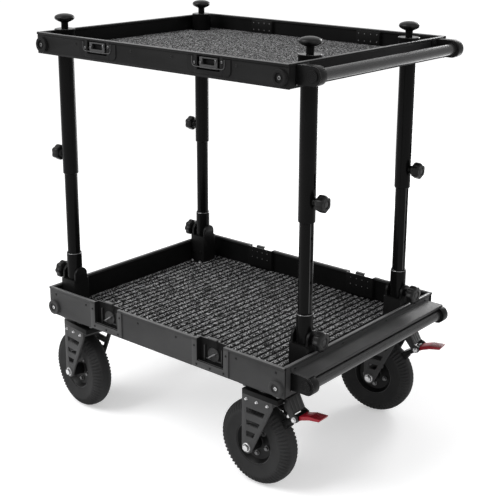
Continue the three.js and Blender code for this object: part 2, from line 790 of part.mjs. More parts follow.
// A caster fork: two plates on a crown, the head plate, the swivel bearing and the axle
function fork() {
  const { left, right } = forkEdge();
  const outer = forkInner + forkPlate;
  const shape = forkPlateShape();
  const plates = [
    prism(shape, "y", -outer, -forkInner, cheekSteps),
    prism(shape, "y", forkInner, outer, cheekSteps),
  ];
  const crown = block(
    [left, -forkInner - overrun, forkTop - crownThickness],
    [right, forkInner + overrun, forkTop],
  );
  const head = block([left, -outer, forkTop - overrun], [headFront, outer, headTop]);
  const bearing = rod(bearingRadius, "z", headTop - overrun, mountPlateBottom - fit, [0, 0, 0], postSides);
  const axlePoint = [-trail, 0, wheelRadius];
  const axle = rod(axleRadius, "y", -outer, outer, axlePoint, pinSides);
  const heads = [-1, 1].map((side) => {
    const from = Math.min(side * (outer - overrun), side * (outer + axleHeadHeight));
    return rod(axleHeadRadius, "y", from, from + axleHeadHeight + overrun, axlePoint, pinSides);
  });
  return join(...plates, crown, head, bearing, axle, ...heads);
}

// The wheel rim: a hub, a web and the well that the tyre seats in
function wheelRim() {
  const bore = boreRound(axleRadius, rimSteps);
  const hubHalf = forkInner - fit;
  const half = [
    [bore, hubHalf],
    [hubRadius, hubHalf],
    [hubRadius, webHalf],
    [rimWell - rimSheet - webHalf, webHalf],
    [rimWell - rimSheet, rimHalfWidth],
    [rimFlange, rimHalfWidth],
    [rimFlange, rimHalfWidth - rimSheet],
    [rimWell, rimHalfWidth - rimSheet - fit],
  ];
  const mirrored = half.map(([r, y]) => [r, -y]).reverse();
  return turned([...half, ...mirrored, half[0]], "y", [-trail, 0, wheelRadius], rimSteps);
}

// The tyre: a round section on its two beads
function tyre() {
  const seat = boreRound(rimWell, tyreSteps);
  const lip = boreRound(rimFlange, tyreSteps);
  const middle = (wheelRadius + seat) / 2;
  const rise = wheelRadius - middle;
  const profile = [[seat, tyreBeadHalf], [lip, tyreBeadHalf]];
  for (let i = 0; i < tyrePoints; i += 1) {
    const turn = radians(tyreShoulder - (2 * tyreShoulder * i) / (tyrePoints - 1));
    profile.push([middle + rise * Math.cos(turn), (tyreWidth / 2) * Math.sin(turn)]);
  }
  profile.push([lip, -tyreBeadHalf], [seat, -tyreBeadHalf], profile[0]);
  return turned(profile, "y", [-trail, 0, wheelRadius], tyreSteps);
}

// The folded housing that carries a brake pedal, hung on the head plate
function brakeHousing() {
  const [lowMouth, highMouth] = housingMouthShares;
  const px = brakePivotX;
  const pz = brakePivotZ;
  const from = headFront + fit;
  const outline = [
    [from, headTop],
    [from + pedalHub, headTop],
    [px - brakeSheet, pz + pedalHub * lowMouth],
    [px + pedalHub, pz + pedalHub],
    [px + pedalHub, pz - pedalHub / 2],
    [px, pz - pedalHub],
    [px - pedalHub, pz - pedalHub / 2],
    [from, headTop - headThickness - crownThickness],
  ];
  const pocket = [
    [from - overrun, headTop - headThickness],
    [from + pedalHub - brakeSheet, headTop - headThickness + brakeSheet],
    [px - brakeSheet, pz + pedalHub * lowMouth - brakeSheet],
    [px - brakeSheet, pz + pedalHub * highMouth],
    [px + pedalHub + overrun, pz + pedalHub * highMouth],
    [px + pedalHub + overrun, pz - pedalHub - overrun],
    [from - overrun, pz - pedalHub - overrun],
  ];
  const inner = brakeHalfWidth - brakeSheet;
  const shell = cut(prism(outline, "y", -brakeHalfWidth, brakeHalfWidth), prism(pocket, "y", -inner, inner));
  const pinHalf = brakeHalfWidth + brakeSheet;
  const pin = rod(brakePinRadius, "y", -pinHalf, pinHalf, [px, 0, pz], pinSides);
  return join(shell, pin);
}

// The brake pedal about its pivot: a tongue to step on, and a shoe that meets the tyre
function brakePedal() {
  const reach = Math.hypot(brakePivotX + trail, brakePivotZ - wheelRadius) - wheelRadius - fit;
  const [lowRoot, highRoot] = tongueRootShares.map(([out, up]) => [pedalHub * out, pedalHub * up]);
  const tongue = [lowRoot, ...tongueShares.map(([out, up]) => [pedalLength * out, pedalHub * up]), highRoot];
  const shoe = [];
  for (let turn = shoeStart; turn <= shoeEnd; turn += shoeStep)
    shoe.push([reach * Math.cos(radians(turn)), reach * Math.sin(radians(turn))]);
  for (const turn of [shoeEnd, (shoeStart + shoeEnd + shoeStep) / 2]) {
    const inner = reach - shoeThickness;
    shoe.push([inner * Math.cos(radians(turn)), inner * Math.sin(radians(turn))]);
  }
  shoe.push([0, -pedalHub * pedalWebShare], [-pedalHub * pedalWebShare, 0]);
  const body = join(
    prism(tongue, "y", -pedalHalfWidth, pedalHalfWidth),
    rod(pedalHub, "y", -pedalHalfWidth, pedalHalfWidth, [0, 0, 0], barSides),
    prism(shoe, "y", -shoeHalfWidth, shoeHalfWidth),
  );
  const width = pedalHalfWidth + overrun;
  return cut(body, rod(boreRound(brakePinRadius, pinSides), "y", -width, width, [0, 0, 0], pinSides));
}

const upward = new THREE.Vector3(0, 0, 1);

function casterPieces() {
  const made = { fork: fork(), rim: wheelRim(), tyre: tyre(), housing: brakeHousing(), pedal: brakePedal() };
  for (const { corner, x, y, yaw, brake } of casters) {
    piece(`caster_fork_${corner}`, made.fork, blackSteel, [x, y, 0], yaw);
    piece(`wheel_rim_${corner}`, made.rim, blackSteel, [x, y, 0], yaw);
    piece(`tyre_${corner}`, made.tyre, rubber, [x, y, 0], yaw);
    if (!brake) continue;
    const pivot = new THREE.Vector3(brakePivotX, 0, 0).applyAxisAngle(upward, radians(yaw));
    piece(`brake_housing_${corner}`, made.housing, blackSteel, [x, y, 0], yaw);
    piece(`brake_pedal_${corner}`, made.pedal, redPedal, [x + pivot.x, y + pivot.y, brakePivotZ], yaw);
  }
}

lowerTray();
latchKeys();
postPieces();
upperTray();
piece("upper_handle", handle(upperRim, upperHandleBelowRim), blackAlloy);
piece("lower_handle", handle(rimAboveFloor, lowerHandleBelowRim), blackAlloy);
piece("tread_plate", treadPlate(), blackAlloy);
casterPieces();

// The origin lies under the middle of the whole cart
cart.updateMatrixWorld(true);
const reach = new THREE.Box3().setFromObject(cart, true);
cart.position.x = -(reach.min.x + reach.max.x) / 2;
cart.position.y = -(reach.min.y + reach.max.y) / 2;

export default cart;
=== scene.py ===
# Camera cart: two carpeted trays on telescoping posts, with swivel casters, push handles and foot brakes.
# Lengths are in metres unless a note says otherwise; the frame gives the places.
import json
import math
import random

import bpy
from mathutils import Matrix, Vector


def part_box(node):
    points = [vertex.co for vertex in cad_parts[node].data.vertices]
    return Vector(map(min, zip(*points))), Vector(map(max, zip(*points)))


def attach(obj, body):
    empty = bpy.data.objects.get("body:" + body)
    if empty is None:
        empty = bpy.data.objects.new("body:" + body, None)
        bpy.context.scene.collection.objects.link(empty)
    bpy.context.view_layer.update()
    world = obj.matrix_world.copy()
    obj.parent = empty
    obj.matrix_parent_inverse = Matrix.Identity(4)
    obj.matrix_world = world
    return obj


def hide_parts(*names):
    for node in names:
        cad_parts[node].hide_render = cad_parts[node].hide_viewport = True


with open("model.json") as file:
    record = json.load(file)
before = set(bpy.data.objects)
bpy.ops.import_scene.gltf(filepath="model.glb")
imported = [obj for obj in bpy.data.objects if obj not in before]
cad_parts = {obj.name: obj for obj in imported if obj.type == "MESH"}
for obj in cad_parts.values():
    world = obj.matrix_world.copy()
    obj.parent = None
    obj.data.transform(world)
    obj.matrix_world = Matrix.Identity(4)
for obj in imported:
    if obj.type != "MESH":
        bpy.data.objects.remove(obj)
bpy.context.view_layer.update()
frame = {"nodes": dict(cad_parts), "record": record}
random.seed(7)

sideLow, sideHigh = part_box("lower_side_front")
deckCentreX = (sideLow[0] + sideHigh[0]) / 2  # middle of both trays
upperLow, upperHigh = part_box("upper_side_front")
halfLength = (upperHigh.x - upperLow.x) / 2  # of a tray's long wall
corners = ("front_left", "back_left", "front_right", "back_right")
bodyOf = {node: body for body, members in frame["record"]["behaviour"]["bodies"].items() for node in members}
nodeSlot = {row["node"]: row["material_slot"] for row in frame["record"]["subparts"]}

studio = {
    "cameraPlace": (1.652, -1.924, 0.952),  # from the deck's middle; the height is above the lower rim
    "lowerRim": 0.332,
    "azimuth": 39.54,
    "elevation": 15.80,
    "roll": 0.44,
    "focalPixels": 1066.7,
    "framePixels": 500,
    "sensor": 36.0,
    "shift": (-0.02, -0.10),
    "floorSize": 30.0,
    "floorDrop": 0.0005,
    "floorColour": (0.86, 0.86, 0.865, 1),
    "floorRoughness": 0.7,
    "floorGlow": (0.40, 0.62),  # near and far; seen by the camera and in reflections only
    "floorFade": (1.2, 5.0),
    "worldStrength": 0.5,
    "lampTarget": (0, 0, 0.5),
    "lamps": {  # power, place and size
        "keyLamp": (120.0, (-1.6, -2.6, 3.2), (2.6, 2.6)),
        "fillLamp": (22.0, (3.2, -0.6, 2.4), (2.4, 2.4)),
        "edgeLamp": (56.0, (-0.2, 2.7, 0.9), (0.90, 2.0)),
    },
}


# Materials
def newMaterial(name):
    material = bpy.data.materials.new(name)
    material.use_nodes = True
    nodes, links = material.node_tree.nodes, material.node_tree.links
    shader = nodes["Principled BSDF"]
    place = nodes.new("ShaderNodeTexCoord")
    return material, nodes, links, shader, place.outputs["Object"]


def noiseNode(nodes, links, source, scale, detail, roughness, stretch=None):
    noise = nodes.new("ShaderNodeTexNoise")
    noise.inputs["Scale"].default_value = scale
    noise.inputs["Detail"].default_value = detail
    noise.inputs["Roughness"].default_value = roughness
    if stretch:
        mapping = nodes.new("ShaderNodeMapping")
        mapping.inputs["Scale"].default_value = stretch
        links.new(source, mapping.inputs["Vector"])
        source = mapping.outputs["Vector"]
    links.new(source, noise.inputs["Vector"])
    return noise


def rampNode(nodes, links, source, stops):
    ramp = nodes.new("ShaderNodeValToRGB")
    elements = ramp.color_ramp.elements
    while len(elements) < len(stops):
        elements.new(0.5)
    for element, (place, colour) in zip(elements, stops):
        element.position = place
        element.color = colour
    links.new(source, ramp.inputs["Fac"])
    return ramp.outputs["Color"]


def mathNode(nodes, links, operation, source, *values):
    node = nodes.new("ShaderNodeMath")
    node.operation = operation
    links.new(source, node.inputs[0])
    for socket, value in zip(node.inputs[1:], values):
        socket.default_value = value
    return node.outputs["Value"]


def bumpNode(nodes, links, source, shader, strength, distance):
    bump = nodes.new("ShaderNodeBump")
    bump.inputs["Strength"].default_value = strength
    bump.inputs["Distance"].default_value = distance
    links.new(source, bump.inputs["Height"])
    links.new(bump.outputs["Normal"], shader.inputs["Normal"])


def grey(value):
    return value if isinstance(value, tuple) else (value, value, value * 1.01, 1)


coatLook = {
    "broadNoise": (14.0, 4.0, 0.6),  # scale, detail and roughness
    "fineNoise": (3.0, 0.6),
    "colourStops": (0.3, 0.7),
    "glossStops": (0.25, 0.75),
    "bumpStrength": 0.35,
}


# A plain coated surface: two close colours mixed by a broad noise, and a fine noise for bump and gloss
def coatedMaterial(name, dark, light, metallic, gloss, bumpScale, bumpDepth, specular=0.5, stretch=None):
    look = coatLook
    material, nodes, links, shader, place = newMaterial(name)
    broad = noiseNode(nodes, links, place, *look["broadNoise"])
    colours = list(zip(look["colourStops"], (grey(dark), grey(light))))
    links.new(rampNode(nodes, links, broad.outputs["Fac"], colours), shader.inputs["Base Color"])
    fine = noiseNode(nodes, links, place, bumpScale, *look["fineNoise"], stretch)
    glosses = list(zip(look["glossStops"], (grey(gloss[0]), grey(gloss[1]))))
    links.new(rampNode(nodes, links, fine.outputs["Fac"], glosses), shader.inputs["Roughness"])
    bumpNode(nodes, links, fine.outputs["Fac"], shader, look["bumpStrength"], bumpDepth)
    shader.inputs["Metallic"].default_value = metallic
    shader.inputs["Specular IOR Level"].default_value = specular
    return material


carpetLook = {
    "ribPitch": 0.0195,
    "ribDepth": 0.0034,
    "ribPower": 1.6,  # narrows the grooves
    "cellsPerRib": 8,
    "rowPitch": 0.0045,
    "finePitch": 0.0035,
    "loopRise": 0.0006,
    "fineRise": 0.0007,
    "nap": 0.0001,
    "snap": (0.0015, 0.0027),
    "ripple": (0.0003, 2600),  # height, and turns along the rib
    "edgeWidth": 0.002,
    "edgeDrop": 0.0022,
    "skirt": 0.0045,
    "postClear": 0.0255,
    "footHalf": (0.0244, 0.0374),
    "holeReach": 0.055,
    "dishClear": (0.0026, 0.0102),  # beside a latch dish, and in from the long edge
    "greys": {"ribbed": ((0.28, 0.006), (0.46, 0.030), (0.60, 0.095), (0.74, 0.46)),
              "fine": ((0.28, 0.008), (0.46, 0.030), (0.60, 0.08), (0.76, 0.36))},
    "loops": {"ribbed": (400.0, 0.0014), "fine": (430.0, 0.0009)},  # scale and height
    # painted shade: near-black in the grooves between the ribs
    "grooveShadeStops": ((0.60, (1, 1, 1, 1)), (0.78, (0.012, 0.012, 0.012, 1))),
    "bumpStrength": 0.9,
    "roughness": 0.95,
    "specular": 0.1,
}


# Loop carpet: random greys for each loop, and painted shade in the grooves between the ribs where it has them
def carpetMaterial(name, kind):
    look = carpetLook
    loopScale, loopHeight = look["loops"][kind]
    material, nodes, links, shader, place = newMaterial(name)
    loops = nodes.new("ShaderNodeTexVoronoi")
    loops.inputs["Scale"].default_value = loopScale
    links.new(place, loops.inputs["Vector"])
    greys = [(stop, grey(shade)) for stop, shade in look["greys"][kind]]
    colour = rampNode(nodes, links, loops.outputs["Color"], greys)
    # the grooves between the ribs are darkened, a painted shade
    if kind == "ribbed":
        start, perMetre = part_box("lower_carpet")[0].x, 2 * math.pi / look["ribPitch"]
        axes = nodes.new("ShaderNodeSeparateXYZ")
        links.new(place, axes.inputs["Vector"])
        turn = mathNode(nodes, links, "MULTIPLY_ADD", axes.outputs["X"], perMetre, -start * perMetre)
        wave = mathNode(nodes, links, "MULTIPLY_ADD", mathNode(nodes, links, "COSINE", turn), 0.5, 0.5)
        mix = nodes.new("ShaderNodeMix")
        mix.data_type = "RGBA"
        mix.blend_type = "MULTIPLY"
        mix.inputs["Factor"].default_value = 1.0
        links.new(colour, mix.inputs[6])
        links.new(rampNode(nodes, links, wave, look["grooveShadeStops"]), mix.inputs[7])
        colour = mix.outputs[2]
    links.new(colour, shader.inputs["Base Color"])
    bumpNode(nodes, links, loops.outputs["Distance"], shader, look["bumpStrength"], loopHeight)
    shader.inputs["Roughness"].default_value = look["roughness"]
    shader.inputs["Specular IOR Level"].default_value = look["specular"]
    return material


# Name, darker and lighter colour, metal, gloss, grain's scale and depth, specular level, grain's stretch
finishLooks = {
    "alloy": ("blackAnodisedSheet", 0.034, 0.041, 0.0, (0.44, 0.58), 900.0, 0.00006, 0.16),
    "alloyDark": ("deepBlackSheet", 0.0095, 0.0125, 0.0, (0.42, 0.56), 900.0, 0.00006, 0.07),
    # painted shade: a near-black for the insides of the walls, the post grooves' floors and the keepers'
    # roofs
    "inner": ("shadedInnerSheet", 0.0035, 0.0055, 0.0, (0.5, 0.62), 900.0, 0.00005, 0.08),
    "frameGrey": ("latchFrameSheet", 0.040, 0.050, 0.0, (0.40, 0.52), 900.0, 0.00006, 0.25),
    "tube": ("blackAnodisedTube", 0.0030, 0.0042, 0.0, (0.16, 0.24), 700.0, 0.00004, 0.06, (1, 1, 0.05)),
    "tubeSatin": ("satinHandleTube", 0.018, 0.023, 0.0, (0.24, 0.32), 700.0, 0.00001, 0.30, (1, 0.05, 1)),
    "satinSheet": ("satinTreadSheet", 0.046, 0.056, 0.3, (0.32, 0.42), 900.0, 0.00005, 0.3),
    "plastic": ("mouldedBlackPlastic", 0.007, 0.0095, 0.0, (0.26, 0.38), 1300.0, 0.00012, 0.15),
    "steel": ("blackPowderCoat", 0.016, 0.022, 0.0, (0.40, 0.52), 1600.0, 0.00014, 0.25),
    "steelDark": ("blackCoatedBlock", 0.0045, 0.007, 0.0, (0.28, 0.40), 1400.0, 0.0001, 0.09),
    "forkGrey": ("greyPowderCoat", 0.040, 0.050, 0.0, (0.5, 0.64), 1600.0, 0.00016, 0.2),
    "housingGrey": ("brakeHousingCoat", 0.008, 0.012, 0.0, (0.34, 0.46), 1300.0, 0.00012, 0.3),
    "rimBlack": ("blackWheelDisc", 0.004, 0.006, 0.0, (0.36, 0.5), 1200.0, 0.0001, 0.16),
    "rubber": ("tyreRubber", 0.024, 0.032, 0.0, (0.68, 0.85), 600.0, 0.0003, 0.12),
    "zinc": ("zincPlatedSteel", 0.50, 0.64, 1.0, (0.20, 0.34), 800.0, 0.00004),
    "zincDark": ("dullPlatedSteel", 0.12, 0.17, 0.9, (0.34, 0.46), 800.0, 0.00005),
    "red": ("redPedalCoat", (0.25, 0.004, 0.014, 1), (0.33, 0.007, 0.020, 1),
            0.0, (0.3, 0.42), 900.0, 0.0001, 0.35),
    # darker red for the pedal's teeth, painted shade standing in for the shade between them
    "redToothShade": ("redPedalTeeth", (0.10, 0.002, 0.006, 1), (0.15, 0.003, 0.009, 1),
               0.0, (0.3, 0.42), 900.0, 0.0001, 0.35),
    # painted highlight on edges and thin rings
    "edgeHighlight": ("polishedEdge", 0.16, 0.22, 0.7, (0.24, 0.36), 900.0, 0.00004),
    # painted highlight on the top of the walls' rim bead
    "beadHighlight": ("litRimBead", 0.10, 0.13, 0.2, (0.34, 0.46), 900.0, 0.00005, 0.4),
    # dim painted highlight on latch parts, keeper beads, wheel rim rings and post groove edges
    "dimEdgeHighlight": ("wornEdge", 0.045, 0.07, 0.5, (0.3, 0.42), 900.0, 0.00005),
    "screwBlack": ("blackScrew", 0.004, 0.006, 0.0, (0.3, 0.42), 1200.0, 0.00004, 0.2),
    "whiteMark": ("whitePrint", 0.6, 0.7, 0.0, (0.45, 0.6), 1500.0, 0.00002),
}
finishes = {finish: coatedMaterial(*look) for finish, look in finishLooks.items()}
finishes["carpet"] = carpetMaterial("ribbedLoopCarpet", "ribbed")
finishes["carpetFine"] = carpetMaterial("fineLoopCarpet", "fine")
slotFinish = {
    "black_alloy": "alloy",
    "black_tube": "tube",
    "black_plastic": "plastic",
    "black_steel": "steel",
    "tyre_rubber": "rubber",
    "carpet": "carpet",
    "red_paint": "red",
}
for node, slot in nodeSlot.items():
    shape = frame["nodes"][node]
    shape.data.materials.clear()
    shape.data.materials.append(finishes[slotFinish[slot]])
print("materials ready")


# Small helpers round Blender's own operators
def unselect():
    bpy.ops.object.select_all(action="DESELECT")


def activate(*pieces):
    unselect()
    for piece in pieces:
        piece.select_set(True)
    bpy.context.view_layer.objects.active = pieces[0]


def editAll(piece):
    activate(piece)
    bpy.ops.object.mode_set(mode="EDIT")
    bpy.ops.mesh.select_mode(type="VERT")
    bpy.ops.mesh.select_all(action="SELECT")


def leaveEdit():
    bpy.ops.object.mode_set(mode="OBJECT")


# Leaves a piece with nothing selected in it, ready for edges or faces to be picked in code
def cleared(piece, kind):
    editAll(piece)
    bpy.ops.mesh.select_mode(type=kind)
    bpy.ops.mesh.select_all(action="DESELECT")
    leaveEdit()


def applied(piece, kind, **values):
    activate(piece)
    modifier = piece.modifiers.new(kind, kind)
    for key, value in values.items():
        setattr(modifier, key, value)
    bpy.ops.object.modifier_apply(modifier=modifier.name)
    return piece


def bevelled(piece, width, segments=2, angle=35):
    return applied(piece, "BEVEL", width=width, segments=segments, limit_method="ANGLE",
                   angle_limit=math.radians(angle))


def cutBy(piece, tool, operation="DIFFERENCE"):
    applied(piece, "BOOLEAN", operation=operation, object=tool, solver="EXACT")
    bpy.data.objects.remove(tool)
    return piece


def mergedWith(piece, other):
    return cutBy(piece, other, "UNION")


def joined(name, pieces):
    activate(*pieces)
    if len(pieces) > 1:
        bpy.ops.object.join()
    piece = bpy.context.view_layer.objects.active
    piece.name = name
    return piece


def placed(piece, matrix):
    piece.data.transform(matrix)
    return piece


def copyOf(piece, name, matrix=None):
    twin = bpy.data.objects.new(name, piece.data.copy())
    bpy.context.collection.objects.link(twin)
    if matrix:
        twin.data.transform(matrix)
    return twin


def repeated(name, model, matrices):
    return joined(name, [copyOf(model, name, matrix) for matrix in matrices])


def dropped(*pieces):
    for piece in pieces:
        bpy.data.objects.remove(piece)


# An outline of (radius, height) points, drawn vertex by vertex and spun about Z
def spun(name, outline, steps=64, closed=False):
    near = 0.000005  # points closer than this are one
    unselect()
    bpy.ops.mesh.primitive_plane_add(size=0.001)
    piece = bpy.context.object
    piece.name = name
    editAll(piece)
    bpy.ops.mesh.merge(type="CENTER")
    radius, height = outline[0]
    bpy.ops.transform.translate(value=(radius, 0, height))
    points = outline[1:] + ([outline[0]] if closed else [])
    for across, up in points:
        bpy.ops.mesh.extrude_region_move(TRANSFORM_OT_translate={"value": (across - radius, 0, up - height)})
        radius, height = across, up
    bpy.ops.mesh.select_all(action="SELECT")
    bpy.ops.mesh.remove_doubles(threshold=near)
    bpy.ops.mesh.spin(steps=steps, angle=2 * math.pi, center=(0, 0, 0), axis=(0, 0, 1))
    bpy.ops.mesh.select_all(action="SELECT")
    bpy.ops.mesh.remove_doubles(threshold=near)
    bpy.ops.mesh.normals_make_consistent(inside=False)
    leaveEdit()
    return piece


# The second half of an outline that is the same below as above
def withMirror(half, between=()):
    return [*half, *between, *((radius, -height) for radius, height in reversed(half))]


def block(name, low, high, edge=0.0, segments=2):
    unselect()
    bpy.ops.mesh.primitive_cube_add(size=1)
    piece = bpy.context.object
    piece.name = name
    size = [b - a for a, b in zip(low, high)]
    middle = [(a + b) / 2 for a, b in zip(low, high)]
    placed(piece, Matrix.Translation(middle) @ Matrix.Diagonal((*size, 1)))
    return bevelled(piece, edge, segments) if edge else piece


def rod(name, radius, length, steps=32, edge=0.0):
    unselect()
    bpy.ops.mesh.primitive_cylinder_add(vertices=steps, radius=radius, depth=length)
    piece = bpy.context.object
    piece.name = name
    return bevelled(piece, edge, 2, 50) if edge else piece


def turnTo(axis):
    return Vector((0, 0, 1)).rotation_difference(Vector(axis)).to_matrix().to_4x4()


def at(place, axis=(0, 0, 1), spin=0.0):
    return Matrix.Translation(place) @ turnTo(axis) @ Matrix.Rotation(spin, 4, "Z")


def shift(x, y, z):
    return Matrix.Translation((x, y, z))


def turnZ(degrees):
    return Matrix.Rotation(math.radians(degrees), 4, "Z")


# Gives a piece its finish, and the body of the node that it rides with
def settle(piece, finish, node, angle=35):
    activate(piece)
    bpy.ops.object.shade_smooth_by_angle(angle=math.radians(angle))
    if not piece.data.materials:
        piece.data.materials.append(finishes[finish])
    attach(piece, bodyOf[node])


# The same for a piece that stands for the node
def standIn(piece, finish, node, angle=35):
    settle(piece, finish, node, angle)
    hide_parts(node)


def painted(piece, finish):
    piece.data.materials.clear()
    piece.data.materials.append(finishes[finish])
    return piece


# A second finish on the faces whose middle and normal a rule picks
def partlyPainted(piece, finish, rule):
    piece.data.materials.append(finishes[finish])
    index = len(piece.data.materials) - 1
    for face in piece.data.polygons:
        if rule(face.center, face.normal):
            face.material_index = index
    return piece


def splitAt(piece, place, normal):
    editAll(piece)
    bpy.ops.mesh.bisect(plane_co=place, plane_no=normal)
    leaveEdit()
    return piece


# A node as a cleaned copy with rounded edges
def dressedCopy(node, name, edge, segments=2, angle=35):
    piece = copyOf(frame["nodes"][node], name)
    editAll(piece)
    bpy.ops.mesh.remove_doubles(threshold=0.00001)
    bpy.ops.mesh.dissolve_limited(angle_limit=math.radians(1))
    leaveEdit()
    return bevelled(piece, edge, segments, angle)


def middleOf(node):
    low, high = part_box(node)
    return (low + high) / 2


# The left end's posts are the right end's, turned half round
def postPlace(node, corner, z=0):
    spot = middleOf(node + corner)
    return shift(spot.x, spot.y, z) @ turnZ(0 if corner.endswith("right") else 180)


# One where the camera, a reflection or a clear piece looks, else nought
def seenRay(nodes, links):
    path = nodes.new("ShaderNodeLightPath")
    first = mathNode(nodes, links, "MAXIMUM", path.outputs["Is Camera Ray"])
    links.new(path.outputs["Is Glossy Ray"], first.node.inputs[1])
    second = mathNode(nodes, links, "MAXIMUM", first)
    links.new(path.outputs["Is Transmission Ray"], second.node.inputs[1])
    return second


# Studio: a pale floor, a soft sky, two large lamps in front and one behind for the edges
def addStudio():
    unselect()
    bpy.ops.mesh.primitive_plane_add(size=studio["floorSize"], location=(0, 0, -studio["floorDrop"]))
    floor = bpy.context.object
    floor.name = "studioFloor"
    material, nodes, links, shader, place = newMaterial("paleFloor")
    shader.inputs["Base Color"].default_value = studio["floorColour"]
    shader.inputs["Roughness"].default_value = studio["floorRoughness"]
    shader.inputs["Specular IOR Level"].default_value = 0.0
    shader.inputs["Emission Color"].default_value = (1, 1, 1, 1)
    away = nodes.new("ShaderNodeVectorMath")
    away.operation = "LENGTH"
    links.new(place, away.inputs[0])
    fade = nodes.new("ShaderNodeMapRange")
    fade.inputs["From Min"].default_value, fade.inputs["From Max"].default_value = studio["floorFade"]
    fade.inputs["To Min"].default_value, fade.inputs["To Max"].default_value = studio["floorGlow"]
    links.new(away.outputs["Value"], fade.inputs["Value"])
    glow = mathNode(nodes, links, "MULTIPLY", seenRay(nodes, links))
    links.new(fade.outputs["Result"], glow.node.inputs[1])
    links.new(glow, shader.inputs["Emission Strength"])
    floor.data.materials.append(material)
    world = bpy.data.worlds.new("softSky")
    bpy.context.scene.world = world
    world.use_nodes = True
    nodes, links = world.node_tree.nodes, world.node_tree.links
    background = nodes["Background"]
    background.inputs["Color"].default_value = (1, 1, 1, 1)
    strength = nodes.new("ShaderNodeMapRange")
    strength.inputs["To Min"].default_value = studio["worldStrength"]
    strength.inputs["To Max"].default_value = 1.0
    links.new(seenRay(nodes, links), strength.inputs["Value"])
    links.new(strength.outputs["Result"], background.inputs["Strength"])
    for name, (power, place, size) in studio["lamps"].items():
        lamp = bpy.data.lights.new(name, "AREA")
        lamp.energy = power
        lamp.shape = "RECTANGLE"
        lamp.size, lamp.size_y = size
        holder = bpy.data.objects.new(name, lamp)
        bpy.context.collection.objects.link(holder)
        holder.location = place
        aim = Vector(studio["lampTarget"]) - Vector(place)
        holder.rotation_euler = aim.to_track_quat("-Z", "Y").to_euler()


def addCamera():
    camera = bpy.data.cameras.new("photoCamera")
    camera.sensor_width = studio["sensor"]
    camera.lens = studio["focalPixels"] / studio["framePixels"] * studio["sensor"]
    camera.shift_x, camera.shift_y = studio["shift"]
    holder = bpy.data.objects.new("photoCamera", camera)
    bpy.context.collection.objects.link(holder)
    x, y, z = studio["cameraPlace"]
    tilt = Matrix.Rotation(math.radians(90 - studio["elevation"]), 4, "X")
    turn = turnZ(studio["azimuth"]) @ tilt @ turnZ(studio["roll"])
    holder.matrix_world = shift(deckCentreX + x, y, studio["lowerRim"] + z) @ turn
    bpy.context.scene.camera = holder


# Screws and bolts, modelled once for each size and copied: radius and height, and steps round a screw
fastenerLook = {
    "bossScrew": (0.0045, 0.0024, 28),
    "wallScrew": (0.0031, 0.0011, 20),
    "rivet": (0.0016, 0.0010, 14),
    "frameScrew": (0.0028, 0.0012, 20),
    "keyPin": (0.0030, 0.0030, 24),
    "keeperStud": (0.0030, 0.0026, 24),
    "clampScrew": (0.0034, 0.0020, 24),
    "armScrew": (0.0036, 0.0022, 24),
    "treadScrew": (0.0026, 0.0010, 24),
    "footBolt": (0.0042, 0.0042),
    "rimNut": (0.0050, 0.0058),
    "forkBolt": (0.0027, 0.0040),
    "axleBolt": (0.0078, 0.0058),
    "mountBolt": (0.0052, 0.0060),
    "brakeBolt": (0.0046, 0.0046),
}


def screwModel(name):
    radius, height, steps = fastenerLook[name]
    return spun(name, [
        (0.0, 0.0), (radius * 0.98, 0.0), (radius, height * 0.35), (radius * 0.90, height * 0.78),
        (radius * 0.66, height), (radius * 0.46, height), (radius * 0.40, height * 0.42),
        (0.0, height * 0.42),
    ], steps)


def boltModel(name):
    radius, height = fastenerLook[name]
    washer = spun("washer", [
        (0.0, 0.0), (radius * 1.30, 0.0), (radius * 1.30, height * 0.16), (radius * 1.22, height * 0.24),
        (0.0, height * 0.24),
    ], 32)
    head = placed(rod("head", radius, height * 0.8, 6, radius * 0.1), shift(0, 0, height * 0.6))
    return joined(name, [washer, head])


# Posts: a keyed inner tube, an outer sleeve, and thin rings on the collar and the head painted as highlights
postLook = {
    "steps": 64,
    "edge": 0.0006,
    "collarRadius": 0.019,
    "collarBevel": 0.0035,
    "collarAboveRim": 0.086,
    "tubeRadius": 0.016,
    "tubeWall": 0.0025,
    "sleeveRadius": 0.019,
    "sleeveBore": 0.0163,
    "headRadius": 0.025,
    "headRound": 0.0012,
    "headDepth": 0.025,  # solid part at the top
    "boss": (0.009, 0.006, 0.024),  # radius, length and far end
    "screwBore": 0.0056,
    "groove": (0.0096, 0.0023),  # width and depth
    "grooveAboveCollar": 0.045,
    "holePitch": 0.050,
    "hole": (0.0033, 0.012),  # radius and depth
    "slot": (0.005, 0.074, 0.108),  # width, and its ends above the sleeve's lower end
    "knobAboveSleeve": 0.047,
    "tickCount": 9,
    "tickPitch": 0.0035,
    "tickTurns": (19, 16, 16, 16),  # degrees round the sleeve; each fourth tick is set off
    "tickHalf": (0.0012, 0.0003),
}


